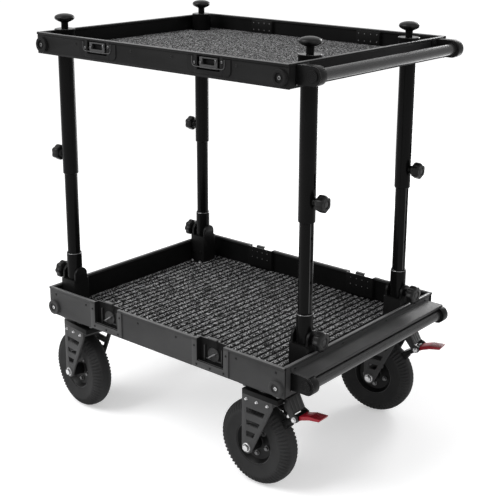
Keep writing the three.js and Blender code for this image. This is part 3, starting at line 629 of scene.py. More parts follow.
def makePosts():
    look = postLook
    low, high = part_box("inner_post_front_right")
    sleeveLow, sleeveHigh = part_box("outer_post_front_right")
    collarTop = studio["lowerRim"] + look["collarAboveRim"]
    bevelLow = collarTop - look["collarBevel"]
    tube, collar, edge = look["tubeRadius"], look["collarRadius"], look["edge"]
    bore = tube - look["tubeWall"]
    inner = spun("innerPost", [
        (bore, low.z), (collar, low.z), (collar, bevelLow - 0.002), (collar - 0.0003, bevelLow),
        (tube + 0.0012, collarTop), (tube, collarTop + 0.0003), (tube, high.z - edge), (tube - edge, high.z),
        (bore, high.z),
    ], look["steps"], closed=True)
    width, depth = look["groove"]
    grooveLow, half = collarTop + look["grooveAboveCollar"], width / 2
    groove = block("groove", (tube - depth, -half, grooveLow), (tube + 0.004, half, high.z + 0.01), 0.0008)
    cutBy(inner, groove)
    holes = []
    radius, deep = look["hole"]
    z = grooveLow + look["holePitch"] / 2
    while z < high.z - radius:
        holes.append(placed(rod("hole", radius, deep, 24), at((tube - 0.002, 0, z), (1, 0, 0))))
        z += look["holePitch"]
    cutBy(inner, joined("holes", holes))
    # the groove's floor is painted shade, and its edges a dim painted highlight
    partlyPainted(painted(inner, "tube"), "inner", lambda spot, normal: spot.z > grooveLow
                  and bore + 0.0001 < spot.x < tube - depth + 0.0002 and abs(spot.y) < half)
    partlyPainted(inner, "dimEdgeHighlight", lambda spot, normal: spot.z > grooveLow and spot.x > 0.010
                  and abs(abs(spot.y) - half) < 0.0009 and math.hypot(spot.x, spot.y) > tube - 0.0012)

    sleeve, bore, head, bend = look["sleeveRadius"], look["sleeveBore"], look["headRadius"], look["headRound"]
    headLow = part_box("upper_floor_pan")[1].z + 0.0003
    bottom, top = sleeveLow.z, sleeveHigh.z
    outer = spun("outerPost", [
        (bore, bottom), (sleeve - bend, bottom), (sleeve, bottom + bend), (sleeve, headLow),
        (head - edge, headLow), (head, headLow + edge), (head, top - bend), (head - bend, top), (0.0, top),
        (0.0, top - look["headDepth"]), (bore, top - look["headDepth"]),
    ], look["steps"], closed=True)
    knobZ = bottom + look["knobAboveSleeve"]
    radius, length, end = look["boss"]
    boss = placed(rod("boss", radius, length, 40, 0.0008), at((end - length / 2, 0, knobZ), (1, 0, 0)))
    mergedWith(outer, boss)
    cutBy(outer, placed(rod("bore", look["screwBore"], 0.03, 32), at((0.020, 0, knobZ), (1, 0, 0))))
    width, slotLow, slotHigh = look["slot"]
    slot = block("slot", (0.002, -width / 2, bottom + slotLow), (0.03, width / 2, bottom + slotHigh), 0.0015)
    cutBy(outer, slot)

    ticks = []
    across, up = look["tickHalf"]
    for i in range(look["tickCount"]):
        tick = block("tick", (-0.0002, -across, -up), (0.0001, across, up))
        turn = turnZ(look["tickTurns"][i % 4])
        ticks.append(placed(tick, turn @ shift(sleeve, 0, bottom + slotLow + 0.002 + i * look["tickPitch"])))
    ticks = joined("ticks", ticks)
    # thin rings at the collar's bevel and the head's top edge, painted as highlights
    ring = spun("collarRing", [
        (collar - 0.0012, bevelLow + 0.0006), (collar - 0.0006, bevelLow + 0.0002),
        (collar - 0.0001, bevelLow + 0.0004), (collar - 0.0006, bevelLow + 0.0012),
    ], look["steps"], closed=True)
    headRing = spun("headRing", [
        (head - 0.0019, top - 0.0001), (head - 0.0011, top - 0.0001), (head - 0.0011, top + 0.0002),
        (head - 0.0019, top + 0.0002),
    ], look["steps"], closed=True)

    for corner in corners:
        place = postPlace("inner_post_", corner)
        node = "inner_post_" + corner
        standIn(copyOf(inner, "innerPost_" + corner, place), "tube", node)
        settle(copyOf(ring, "collarRing_" + corner, place), "edgeHighlight", node)
        node = "outer_post_" + corner
        standIn(copyOf(outer, "outerPost_" + corner, place), "tube", node)
        settle(copyOf(ticks, "heightTicks_" + corner, place), "whiteMark", node)
        settle(copyOf(headRing, "headRing_" + corner, place), "edgeHighlight", node)
    dropped(inner, outer, ring, ticks, headRing)
    print("posts done")


# Knobs: lobed side knobs and scalloped mushroom knobs
knobLook = {
    "base": (0.023, 0.020, 8, 0.10, 0.044),  # radius, depth, lobes, share of the hollows, middle of the head
    "height": (0.0195, 0.022, 6, 0.13, 0.040),
    "shank": 0.005,
    "neck": 0.009,
    "seat": 0.0243,
    "stepsPerLobe": 12,
    "headOutline": (  # shares of the radius and of the depth
        (0, 0), (0.50, 0), (0.80, 0.06), (0.95, 0.16), (1, 0.30), (1, 0.78), (0.97, 0.88), (0.90, 0.95),
        (0.80, 1), (0.50, 1), (0.46, 0.93), (0, 0.93)),
    "hollowFrom": (0.6, 0.3),  # share of the radius where the hollows start, and how soon they are full
    "insert": (0.0065, 0.0016, 32, 0.0004),  # radius, length, steps and rounding
}


# Draws the points of a spun piece towards its axis, each by the share that a rule gives
def pulledIn(piece, rule):
    for corner in piece.data.vertices:
        share = rule(math.hypot(corner.co.x, corner.co.y), math.atan2(corner.co.y, corner.co.x), corner.co.z)
        corner.co.x *= 1 - share
        corner.co.y *= 1 - share


# A lobed head with its neck and shank along +X from the shank's tip, and how far out its sunk face is
def lobedKnob(kind, tip):
    look = knobLook
    radius, depth, lobes, share, reach = look[kind]
    near = reach - depth / 2
    outline = [(radius * a, near + depth * b) for a, b in look["headOutline"]]
    grip = spun("grip", outline, lobes * look["stepsPerLobe"])
    start, soon = look["hollowFrom"]
    pulledIn(grip, lambda away, turn, z: share * (1 - math.cos(lobes * turn)) / 2
             * max(0, min(1, (away / radius - start) / soon)))
    shank, neck, seat = look["shank"], look["neck"], look["seat"]
    stem = spun("stem", [
        (0.0, tip), (shank - 0.0006, tip), (shank, tip + 0.0006), (shank, seat), (neck - 0.0006, seat),
        (neck, seat + 0.0006), (neck, near - 0.0015), (radius * 0.58, near + 0.0008), (0.0, near + 0.0008),
    ], 48)
    face = near + depth * look["headOutline"][-1][1]
    return placed(joined(kind + "Knob", [grip, stem]), turnTo((1, 0, 0))), face


def makeSideKnobs():
    insert = placed(rod("insert", *knobLook["insert"]), turnTo((1, 0, 0)))
    for kind in ("base", "height"):
        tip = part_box(kind + "_knob_front_right")[0].x - middleOf("inner_post_front_right").x
        model, face = lobedKnob(kind, tip)
        for corner in corners:
            node = kind + "_knob_" + corner
            place = postPlace("inner_post_", corner, middleOf(node).z)
            standIn(copyOf(model, kind + "Knob_" + corner, place), "plastic", node)
            settle(copyOf(insert, kind + "KnobInsert_" + corner, place @ shift(face, 0, 0)), "steel", node)
        dropped(model)
    dropped(insert)
    print("side knobs done")


topKnobLook = {
    "radius": 0.024,
    "stem": 0.0085,
    "capFrom": 0.017,
    "height": 0.036,
    "underside": ((0.62, 0.0005, 0), (0.88, 0, 0.20), (0.98, 0, 0.36), (1, 0, 0.45)),  # radius, lift, rise
    "dome": (0.985, 0.54, 10),  # share of the radius, share of the rise where it starts, steps
    "scallops": 6,
    "scallopDepth": 0.20,
    "scallopPower": 1.5,
    "scallopZone": (-0.02, 0.5, 0.35),  # from and to, in shares of the rise, and how soon they are full
}


def makeTopKnobs():
    look = topKnobLook
    radius, stem, cap, top = look["radius"], look["stem"], look["capFrom"], look["height"]
    rise = top - cap
    outline = [
        (0.0, 0.0003), (stem - 0.0006, 0.0003), (stem, 0.0009), (stem, cap - 0.003),
        (stem + 0.002, cap - 0.0012),
    ]
    outline += [(radius * share, cap + lift + rise * up) for share, lift, up in look["underside"]]
    wide, start, steps = look["dome"]
    for i in range(steps + 1):
        turn = i / steps * math.pi / 2
        up = cap + rise * start + rise * (1 - start) * math.sin(turn)
        outline.append((radius * wide * math.cos(turn), up))
    outline[-1] = (0.0, top)
    knob = spun("topKnob", outline, 72)
    lowest, highest, soon = look["scallopZone"]

    def scallop(away, turn, z):
        height = (z - cap) / rise
        if not lowest < height < highest or away <= stem + 0.003:
            return 0
        wave = max(0.0, math.cos(look["scallops"] * turn)) ** look["scallopPower"]
        return look["scallopDepth"] * wave * min(1, (highest - height) / soon)

    pulledIn(knob, scallop)
    for corner in corners:
        node = "top_knob_" + corner
        middle = middleOf(node)
        place = shift(middle.x, middle.y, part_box(node)[1].z - top)
        standIn(copyOf(knob, "topKnob_" + corner, place), "plastic", node, angle=50)
    dropped(knob)
    print("top knobs done")


# Tray walls: folded black sheet with ringed bosses, screws and framed dishes
trayLook = {
    "edge": 0.0008,
    "wallReach": 0.0043,  # the long walls' faces, out from the floor pan
    "lit": 0.0020,  # band under the rim whose top faces get a painted highlight
    "unlit": 0.0065,  # the inside has painted shade from here down
    "endFlange": 0.003,  # the end walls' faces, in from their outermost places
    "bossInset": 0.020,
    "bossRadius": 0.0183,
    "bossHeight": 0.0080,
    "bossRecess": 0.0112,
    "bossFloor": 0.0051,
    "bossDrop": {"upper": 0.029, "lower": 0.051},
    "sheet": {"upper": "alloyDark", "lower": "alloy"},
    "bossFinish": {"upper": "zincDark", "lower": "zinc"},
    "wallScrews": (0.062, 0.245, 0.357),  # from the middle of the wall, both ways
    "wallScrewDrop": 0.017,
    "rivetsAcross": (-0.027, -0.009, 0.009, 0.027),
    "rivetDrops": (0.012, 0.030),
    "rivetsBehind": 0.0140,
    "latchShare": 0.4462,  # middle of the tray to a dish, of half its length
    "latchFrame": (0.110, 0.080, 0.054),  # outer and inner width, and the opening's depth under the rim
    "keeperDish": (0.064, 0.008, 0.035),  # width, and the opening's ends under the rim
}
dishMiddles = [deckCentreX + s * trayLook["latchShare"] * halfLength for s in (-1, 1)]


def wallFace(side):
    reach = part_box("lower_floor_pan")[1].y + trayLook["wallReach"]
    return reach if side == "back" else -reach


# A wall's sheet with painted shade on its inside and a painted highlight on its rim; its outer face looks
# along an axis, one way or the other
def makeWall(level, side, axis, face, way):
    look = trayLook
    node = level + ("_side_" if axis else "_end_") + side
    name, sheet = level + "Wall_" + side, look["sheet"][level]
    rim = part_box(level + "_end_right")[1].z
    wall = painted(dressedCopy(node, name, look["edge"]), sheet)
    # painted shade on the inside faces under the rim, and a painted highlight on the rim's top faces
    partlyPainted(wall, "inner", lambda spot, normal: spot.z < rim - look["unlit"]
                  and (face - spot[axis]) * way > 0.001)
    partlyPainted(wall, "beadHighlight", lambda spot, normal: spot.z > rim - look["lit"] and normal.z > 0.3)
    standIn(wall, sheet, node)
    return node, name, rim


def makeTrayWalls():
    look = trayLook
    radius, height = look["bossRadius"], look["bossHeight"]
    recess, floor = look["bossRecess"], look["bossFloor"]
    boss = spun("bossRing", [
        (0.0, -0.0005), (radius, -0.0005), (radius, height - 0.0014), (radius - 0.0004, height - 0.0004),
        (radius - 0.0014, height + 0.0002), (recess + 0.0012, height + 0.0002),
        (recess + 0.0003, height - 0.0003), (recess - 0.0004, height - 0.0012), (recess - 0.0006, floor),
        (0.0, floor),
    ], 72)
    bossScrew, wallScrew, rivet = screwModel("bossScrew"), screwModel("wallScrew"), screwModel("rivet")
    for level in ("lower", "upper"):
        for side, way in (("front", -1), ("back", 1)):
            face, out = wallFace(side), Vector((0, way, 0))
            node, name, rim = makeWall(level, side, 1, face, way)
            away, drop = halfLength - look["bossInset"], look["bossDrop"][level]
            bosses = [Vector((deckCentreX + s * away, face, rim - drop)) for s in (-1, 1)]
            rings = repeated("bossRings_" + name, boss, [at(place, out) for place in bosses])
            settle(rings, look["sheet"][level], node)
            spots = [at(place + out * floor, out) for place in bosses]
            settle(repeated("bossScrews_" + name, bossScrew, spots), look["bossFinish"][level], node)
            across = [s * x for s in (-1, 1) for x in look["wallScrews"]]
            spots = [at((deckCentreX + x, face, rim - look["wallScrewDrop"]), out) for x in across]
            settle(repeated("wallScrews_" + name, wallScrew, spots), "screwBlack", node)
            across = [dish + x for dish in dishMiddles for x in look["rivetsAcross"]]
            inside = face - way * look["rivetsBehind"]
            spots = [at((x, inside, rim - drop), -out) for x in across for drop in look["rivetDrops"]]
            settle(repeated("dishRivets_" + name, rivet, spots), "zincDark", node)
        for side, end, way in (("left", 0, -1), ("right", 1, 1)):
            makeWall(level, side, 0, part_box(level + "_end_" + side)[end].x - way * look["endFlange"], way)
    dropped(boss, bossScrew, wallScrew, rivet)
    for node in ("lower_floor_pan", "upper_floor_pan"):
        frame["nodes"][node].data.materials[0] = finishes["alloyDark"]
    print("tray walls done")


# The four dishes in a tray's long walls: side, the name's ending, and a place turned so that -Y is outwards
def dishPlaces():
    for side, turn in (("front", 0), ("back", 180)):
        for middle, end in zip(dishMiddles, ("left", "right")):
            yield side, side + "_" + end, shift(middle, 0, 0) @ turnZ(turn)


# Latches: a frame plate round each dish of the lower tray, with a turning key, and a keeper above
latchLook = {
    "frameProud": 0.0031,
    "frameThickness": 0.0012,
    "frameLip": 0.0148,  # under the opening
    "frameScrews": ((-0.041, 0.0062), (0.0, 0.0062), (0.041, 0.0062)),
    "sideScrews": (0.0475, 0.019),  # across, and under the rim
    "bar": (0.031, 0.0016),  # half length and half thickness
    "cheek": (0.0016, 0.0045, 0.019),
    "cheeksAt": (0.026, 0.034),  # across, and under the rim
    "behind": 0.012,
    "keyRadius": 0.0168,
    "keyPlate": 0.0024,
    "keyFace": ((0.84, 1), (0.80, 0.7), (0.42, 0.7), (0.36, 1.1), (0, 1.1)),  # shares of radius and plate
    "keyTurn": -35,
    "grip": (0.88, 0.0026, 0.0090),  # share of the radius, thickness and height
    "gripTaper": 0.86,
}


def makeLatches():
    look = latchLook
    outer, inner, drop = trayLook["latchFrame"]
    bottom, rim = (corner.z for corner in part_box("lower_end_right"))
    frameLow = max(rim - drop - look["frameLip"], bottom + 0.0022)
    thick, proud = look["frameThickness"], look["frameProud"]
    wide = outer / 2 - 0.0005
    plate = block("latchFrame", (-wide, -thick, frameLow), (wide, 0, rim - 0.0065))
    cutBy(plate, block("opening", (-inner / 2, -0.01, rim - drop), (inner / 2, 0.01, rim + 0.01)))
    bevelled(plate, 0.0004)
    radius, disc = look["keyRadius"], look["keyPlate"]
    wide, narrow, tall = look["grip"]
    outline = [(0.0, 0.0), (radius, 0.0), (radius, disc * 0.6), (radius - 0.0006, disc)]
    outline += [(radius * a, disc * b) for a, b in look["keyFace"]]
    grip = block("grip", (-radius * wide, -narrow / 2, 0.0006), (radius * wide, narrow / 2, tall), 0.0009)
    for corner in grip.data.vertices:
        if corner.co.z > tall * 0.5:
            corner.co.x *= look["gripTaper"]
    key = placed(joined("latchKey", [spun("disc", outline, 64), grip]), turnTo((0, -1, 0)))
    # the grip's outer half is painted light, a painted highlight
    partlyPainted(painted(key, "steel"), "edgeHighlight", lambda spot, normal: spot.y < -tall * 0.5)
    pin = placed(screwModel("keyPin"), turnTo((0, -1, 0)))
    screw = screwModel("frameScrew")
    half, depth = look["bar"]
    bar = block("latchBar", (-half, -depth, -depth), (half, 0.0, depth), 0.0006)
    lip = block("latchLip", (-inner / 2 + 0.0015, -0.0012, 0.0), (inner / 2 - 0.0015, 0.0, 0.0014), 0.0004)
    half, depth, tallHalf = look["cheek"]
    cheek = block("latchCheek", (-half, -depth, -tallHalf), (half, 0.0, tallHalf), 0.0006)
    across, under = look["sideScrews"]
    spots = [(x, frameLow + up) for x, up in look["frameScrews"]]
    spots += [(s * across, rim - under) for s in (-1, 1)]
    across, under = look["cheeksAt"]
    for side, tag, place in dishPlaces():
        node, face = "lower_side_" + side, abs(wallFace(side))
        front, back = -face - proud, look["behind"] - face
        settle(copyOf(plate, "latchFrame_" + tag, place @ shift(0, front + thick, 0)), "frameGrey", node)
        screws = [place @ at((x, front, z), (0, -1, 0)) for x, z in spots]
        settle(repeated("latchScrews_" + tag, screw, screws), "screwBlack", node)
        # the bar and the lip are painted as dim highlights in the opening
        settle(copyOf(bar, "latchBar_" + tag, place @ shift(0, back, rim - drop + 0.0062)), "dimEdgeHighlight", node)
        seat = place @ shift(0, -face + 0.0006, rim - drop + 0.0004)
        settle(copyOf(lip, "latchLip_" + tag, seat), "dimEdgeHighlight", node)
        cheeks = [place @ shift(s * across, back, rim - under) for s in (-1, 1)]
        settle(repeated("latchCheeks_" + tag, cheek, cheeks), "steel", node)
        node = "latch_key_" + tag
        low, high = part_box(node)
        lift = place @ shift(0, -abs(low.y if side == "back" else high.y), (low.z + high.z) / 2)
        turned = lift @ Matrix.Rotation(math.radians(look["keyTurn"]), 4, "Y")
        standIn(copyOf(key, "latchKey_" + tag, turned), "steel", node)
        settle(copyOf(pin, "latchKeyPin_" + tag, lift @ shift(0, -disc, 0)), "zincDark", node)
    dropped(plate, screw, key, pin, bar, lip, cheek)
    makeKeepers()
    print("latches done")


keeperLook = {
    "plate": (0.122, 0.0075, 0.043, 0.0012),  # width, ends under the rim and thickness, here and below
    "plateProud": 0.0010,
    "cornerRadius": 0.013,
    "bead": (0.092, 0.0085, 0.0300, 0.0016),
    "beadCorners": (0.009, 0.008),  # outside and inside
    "catch": (0.050, 0.0075, 0.0315, 0.0035),
    "mouth": (0.034, 0.0105, 0.0235),
    "proud": 0.0022,
    "behind": 0.0012,
    "beadStuds": ((-0.0385, 0.0215), (0.0380, 0.0140)),
    "catchStuds": ((0.0210, 0.0135), (-0.0210, 0.0205)),
    "roof": (0.0062, 0.0050, 0.0138),  # ends under the rim, and its reach behind the face
}


# A flat plate in XZ with round lower corners, standing on a wall that faces along -Y
def roundPlate(name, width, low, high, thickness, radius):
    plate = block(name, (-width / 2, -thickness, low), (width / 2, 0, high))
    cleared(plate, "EDGE")
    for edge in plate.data.edges:
        one, two = (plate.data.vertices[i].co for i in edge.vertices)
        edge.select = abs(one.z - low) < 1e-6 and abs(two.z - low) < 1e-6 and abs(one.x - two.x) < 1e-6
    bpy.ops.object.mode_set(mode="EDIT")
    bpy.ops.mesh.bevel(offset=radius, segments=10)
    leaveEdit()
    return plate


def makeKeepers():
    look = keeperLook
    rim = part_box("upper_end_right")[1].z
    dish, dishTop, dishEnd = trayLook["keeperDish"]
    width, top, bottom, thick = look["plate"]
    plate = roundPlate("keeperPlate", width, rim - bottom, rim - top, thick, look["cornerRadius"])
    cutBy(plate, block("opening", (-dish / 2, -0.01, rim - dishEnd), (dish / 2, 0.01, rim - dishTop)))
    plate.data.shade_flat()
    width, top, bottom, thick = look["bead"]
    outside, inside = look["beadCorners"]
    outer = roundPlate("keeperBead", width, rim - bottom, rim - top, thick, outside)
    hollow = roundPlate("hollow", width - 2 * thick, rim - bottom + thick, rim, 0.01, inside)
    bead = bevelled(cutBy(outer, placed(hollow, shift(0, 0.005, 0))), 0.0005)
    width, top, bottom, deep = look["catch"]
    catch = block("keeperCatch", (-width / 2, -deep, rim - bottom), (width / 2, 0.0, rim - top), 0.0009)
    width, top, bottom = look["mouth"]
    cutBy(catch, block("mouth", (-width / 2, -0.02, rim - bottom), (width / 2, 0.02, rim - top), 0.0008))
    stud = placed(screwModel("keeperStud"), turnTo((0, -1, 0)))
    low, high, reach = look["roof"]
    wide = dish / 2 + 0.001
    roof = block("keeperRoof", (-wide, 0.0005, rim - low), (wide, reach, rim - high), 0.0003)
    for side, tag, place in dishPlaces():
        node, face = "upper_side_" + side, abs(wallFace(side))
        proud, back = -face - look["proud"], -face + look["behind"]
        flat = place @ shift(0, -face - look["plateProud"], 0)
        settle(copyOf(plate, "keeperPlate_" + tag, flat), "alloyDark", node)
        # the keeper's bead is painted as a dim highlight
        settle(copyOf(bead, "keeperBead_" + tag, place @ shift(0, proud, 0)), "dimEdgeHighlight", node)
        settle(copyOf(catch, "keeperCatch_" + tag, place @ shift(0, back, 0)), "frameGrey", node)
        studs = [place @ shift(x, proud, rim - z) for x, z in look["beadStuds"]]
        studs += [place @ shift(x, back - deep, rim - z) for x, z in look["catchStuds"]]
        settle(repeated("keeperStuds_" + tag, stud, studs), "zincDark", node)
        # the roof is a dark block of painted shade inside the opening
        settle(copyOf(roof, "keeperRoof_" + tag, place @ shift(0, -face, 0)), "inner", node)
    dropped(plate, bead, catch, stud, roof)


# True where a carpet is left out for a post, at an offset from the post's middle
def inHole(dx, dy, ribbed):
    if ribbed:
        footX, footY = carpetLook["footHalf"]
        return abs(dx) < footX and abs(dy) < footY
    return math.hypot(dx, dy) < carpetLook["postClear"]


# Moves the points round the post holes onto a clean rectangle or circle
def roundedHoles(piece, holes, ribbed):
    look = carpetLook
    footX, footY = look["footHalf"]
    snapX, snapY = look["snap"]
    for corner in piece.data.vertices:
        for hole in holes:
            dx, dy = corner.co.x - hole.x, corner.co.y - hole.y
            if not corner.select or math.hypot(dx, dy) > look["holeReach"]:
                continue
            if ribbed:
                offX, offY = abs(abs(dx) - footX), abs(abs(dy) - footY)
                if offX < snapX or offX < offY:
                    corner.co.x = hole.x + math.copysign(footX, dx)
                if offY < snapY or offY <= offX:
                    corner.co.y = hole.y + math.copysign(footY, dy)
            else:
                outward = look["postClear"] / math.hypot(dx, dy)
                corner.co.x, corner.co.y = hole.x + dx * outward, hole.y + dy * outward


# Carpets: ribbed loops on the lower tray, a fine flat loop on the upper one
def makeCarpets():
    look = carpetLook
    holes = [middleOf("inner_post_" + corner) for corner in corners]
    beside, inwards = look["dishClear"]
    dishHalf = trayLook["latchFrame"][1] / 2 + beside
    rippleHeight, rippleTurns = look["ripple"]
    for node, ribbed in (("lower_carpet", True), ("upper_carpet", False)):
        low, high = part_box(node)
        width, depth = high.x - low.x, high.y - low.y
        cell = look["ribPitch"] / look["cellsPerRib"] if ribbed else look["finePitch"]
        row = look["rowPitch"] if ribbed else look["finePitch"]
        unselect()
        columns, rows = round(width / cell), round(depth / row)
        bpy.ops.mesh.primitive_grid_add(x_subdivisions=columns, y_subdivisions=rows, size=1)
        piece = bpy.context.object
        piece.name = "lowerCarpet" if ribbed else "upperCarpet"
        middle = (low + high) / 2
        placed(piece, shift(middle.x, middle.y, high.z) @ Matrix.Diagonal((width, depth, 1, 1)))
        cleared(piece, "FACE")
        for face in piece.data.polygons:
            x, y = face.center.xy
            atDish = any(abs(x - dish) < dishHalf for dish in dishMiddles)
            inDish = ribbed and atDish and abs(y) > high.y - inwards
            face.select = inDish or any(inHole(x - hole.x, y - hole.y, ribbed) for hole in holes)
        bpy.ops.object.mode_set(mode="EDIT")
        bpy.ops.mesh.delete(type="FACE")
        leaveEdit()
        for corner in piece.data.vertices:
            x, y = corner.co.x, corner.co.y
            if ribbed:
                wave = 0.5 + 0.5 * math.cos(2 * math.pi * (x - low.x) / look["ribPitch"])
                loops = random.uniform(0, look["loopRise"]) + rippleHeight * math.sin(y * rippleTurns)
                groove = look["ribDepth"] * wave ** look["ribPower"]
                corner.co.z -= groove + loops * (1 - wave) + look["nap"]
            else:
                corner.co.z -= random.uniform(0, look["fineRise"])
            if min(x - low.x, high.x - x, y - low.y, high.y - y) < look["edgeWidth"]:
                corner.co.z = min(corner.co.z, high.z - look["edgeDrop"])
        cleared(piece, "EDGE")
        bpy.ops.object.mode_set(mode="EDIT")
        bpy.ops.mesh.select_non_manifold()
        leaveEdit()
        roundedHoles(piece, holes, ribbed)
        bpy.ops.object.mode_set(mode="EDIT")
        bpy.ops.mesh.extrude_edges_move(TRANSFORM_OT_translate={"value": (0, 0, -look["skirt"])})
        leaveEdit()
        standIn(piece, "carpet" if ribbed else "carpetFine", node, 60)
    print("carpets done")


# Sockets that clamp the posts to the lower tray
socketLook = {
    "side": 0.048,
    "foot": (0.074, 0.008),  # length and thickness
    "cheek": (0.019, 0.006),  # radius of the round top, and thickness
    "shoulderDrop": 0.031,  # the block's top under the cheeks' round tops
    "bore": 0.0193,
    "screwBore": 0.0056,
    "edge": 0.0014,
    "bolts": (0.015, 0.0305, 0.4),  # both ways from the middle, and the turn from one to the next
    "clamps": (0.012, 0.036),  # both ways from the middle, and above the foot
}


def makeSockets():
    look = socketLook
    low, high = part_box("post_socket_front_right")
    half = look["side"] / 2
    length, footTop = look["foot"][0] / 2, low.z + look["foot"][1]
    knobZ = middleOf("base_knob_front_right").z
    shoulder = high.z - look["shoulderDrop"]
    body = block("socketBody", (-half, -half, low.z), (half, half, shoulder))
    mergedWith(body, block("foot", (-half, -length, low.z), (half, length, footTop)))
    radius, thick = look["cheek"]
    for s in (-1, 1):
        near = s * (half - thick / 2)
        left, right = near - thick / 2, near + thick / 2
        cheek = block("cheek", (left, -radius, shoulder - 0.002), (right, radius, knobZ))
        mergedWith(cheek, placed(rod("crown", radius, thick, 64), at((near, 0, knobZ), (1, 0, 0))))
        mergedWith(body, cheek)
    bevelled(body, look["edge"], 2, 30)
    cutBy(body, placed(rod("bore", look["bore"], 0.3, 64), shift(0, 0, high.z)))
    cutBy(body, placed(rod("screwBore", look["screwBore"], 0.03, 32), at((half, 0, knobZ), (1, 0, 0))))
    bolt, screw = boltModel("footBolt"), screwModel("clampScrew")
    x, y, turn = look["bolts"]
    spots = [(-x, -y), (x, -y), (-x, y), (x, y)]
    bolts = [at((*spot, footTop), (0, 0, 1), turn * (i + 1)) for i, spot in enumerate(spots)]
    across, up = look["clamps"]
    screws = [at((x, s * half, low.z + up), (0, s, 0)) for s in (-1, 1) for x in (-across, across)]
    for corner in corners:
        node = "post_socket_" + corner
        place = postPlace("post_socket_", corner)
        standIn(copyOf(body, "postSocket_" + corner, place), "steelDark", node)
        spots = [place @ spot for spot in bolts]
        settle(repeated("socketBolts_" + corner, bolt, spots), "zinc", node)
        spots = [place @ spot for spot in screws]
        settle(repeated("socketScrews_" + corner, screw, spots), "screwBlack", node)
    dropped(body, bolt, screw)
    print("sockets done")


# Push handles: a smooth tube held by two round-ended arms, and the tread plate below
handleLook = {
    "tube": 0.0125,
    "arm": (0.020, 0.020),  # radius of the round end, and thickness
    "cap": (0.0125, 0.003),  # radius and height
    "flange": 0.004,
    "edge": 0.0020,
    "lit": (0.15, 0.98),  # the slope of the edges that get a painted highlight
    "screws": (0.010, (-0.013, 0.012)),  # in from an arm's inner side, and up from the tube
    "treadScrews": (0.0030, 0.0042, (-0.264, -0.088, 0.088, 0.264)),  # in, down and across
}


def makeHandles():
    look = handleLook
    tube, edge, flangeThick = look["tube"], look["edge"], look["flange"]
    arm, thick = look["arm"]
    capRadius, capHeight = look["cap"]
    flattest, steepest = look["lit"]
    inwards, rows = look["screws"]
    cap = spun("cap", [
        (0.0, 0.0), (capRadius, 0.0), (capRadius, capHeight - 0.0008), (capRadius - 0.0008, capHeight),
        (capRadius - 0.0028, capHeight), (capRadius - 0.0036, capHeight - 0.0008),
        (0.0060, capHeight - 0.0008), (0.0054, capHeight - 0.0014), (0.0, capHeight - 0.0014),
    ], 64)
    ring = spun("armRing", [
        (tube + 0.0001, 0.0), (tube + 0.0020, 0.0), (tube + 0.0020, 0.0022), (tube + 0.0012, 0.0030),
        (tube + 0.0001, 0.0030),
    ], 64, closed=True)
    screw = screwModel("armScrew")
    for level in ("upper", "lower"):
        node, name = level + "_handle", level + "Handle"
        low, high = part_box(node)
        x, z, wall, outer = high.x - arm, high.z - arm, low.x, high.y - capHeight
        inner = outer - thick
        bar = placed(rod(name + "Tube", tube, 2 * inner + 0.004, 72), at((x, 0, z), (0, 1, 0)))
        pieces = []
        for s in (-1, 1):
            near, far = sorted((s * inner, s * outer))
            plate = block("arm", (wall + flangeThick / 2, near, z - arm), (x, far, z + arm))
            crown = placed(rod("crown", arm, thick, 72), at((x, s * (inner + outer) / 2, z), (0, 1, 0)))
            bevelled(mergedWith(plate, crown), edge, 3, 30)
            near, far = sorted((s * (inner - thick), s * outer))
            flange = block("flange", (wall, near, low.z + 0.0001), (wall + flangeThick, far, high.z), 0.0008)
            pieces += [plate, flange, copyOf(cap, "cap", at((x, s * outer, z), (0, s, 0)))]
        settle(bar, "tubeSatin", node)
        arms = painted(joined(name + "Arms", pieces), "steelDark")
        # painted highlight on the arms' rounded edges along the top and the round end
        partlyPainted(arms, "edgeHighlight", lambda spot, normal: flattest < abs(normal.y) < steepest
                      and abs(spot.y) > outer - edge and (normal.z > 0.1 or normal.x > 0.1)
                      and math.hypot(spot.x - x, spot.z - z) > capRadius + 0.003)
        standIn(arms, "steelDark", node)
        spots = [at((x, s * inner, z), (0, -s, 0)) for s in (-1, 1)]
        settle(repeated(name + "Rings", ring, spots), "steelDark", node)
        spots = [at((wall + flangeThick, s * (inner - inwards), z + up), (1, 0, 0))
                 for s in (-1, 1) for up in rows]
        settle(repeated(name + "Screws", screw, spots), "screwBlack", node)
    dropped(cap, ring, screw)
    node = "tread_plate"
    low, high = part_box(node)
    standIn(dressedCopy(node, "treadPlate", 0.0010, 3), "satinSheet", node)
    screw = screwModel("treadScrew")
    inwards, drop, row = look["treadScrews"]
    spots = [at((low.x + inwards, y, high.z - drop), (1, 0, 0)) for y in row]
    settle(repeated("treadScrews", screw, spots), "screwBlack", node)
    dropped(screw)
    print("handles done")


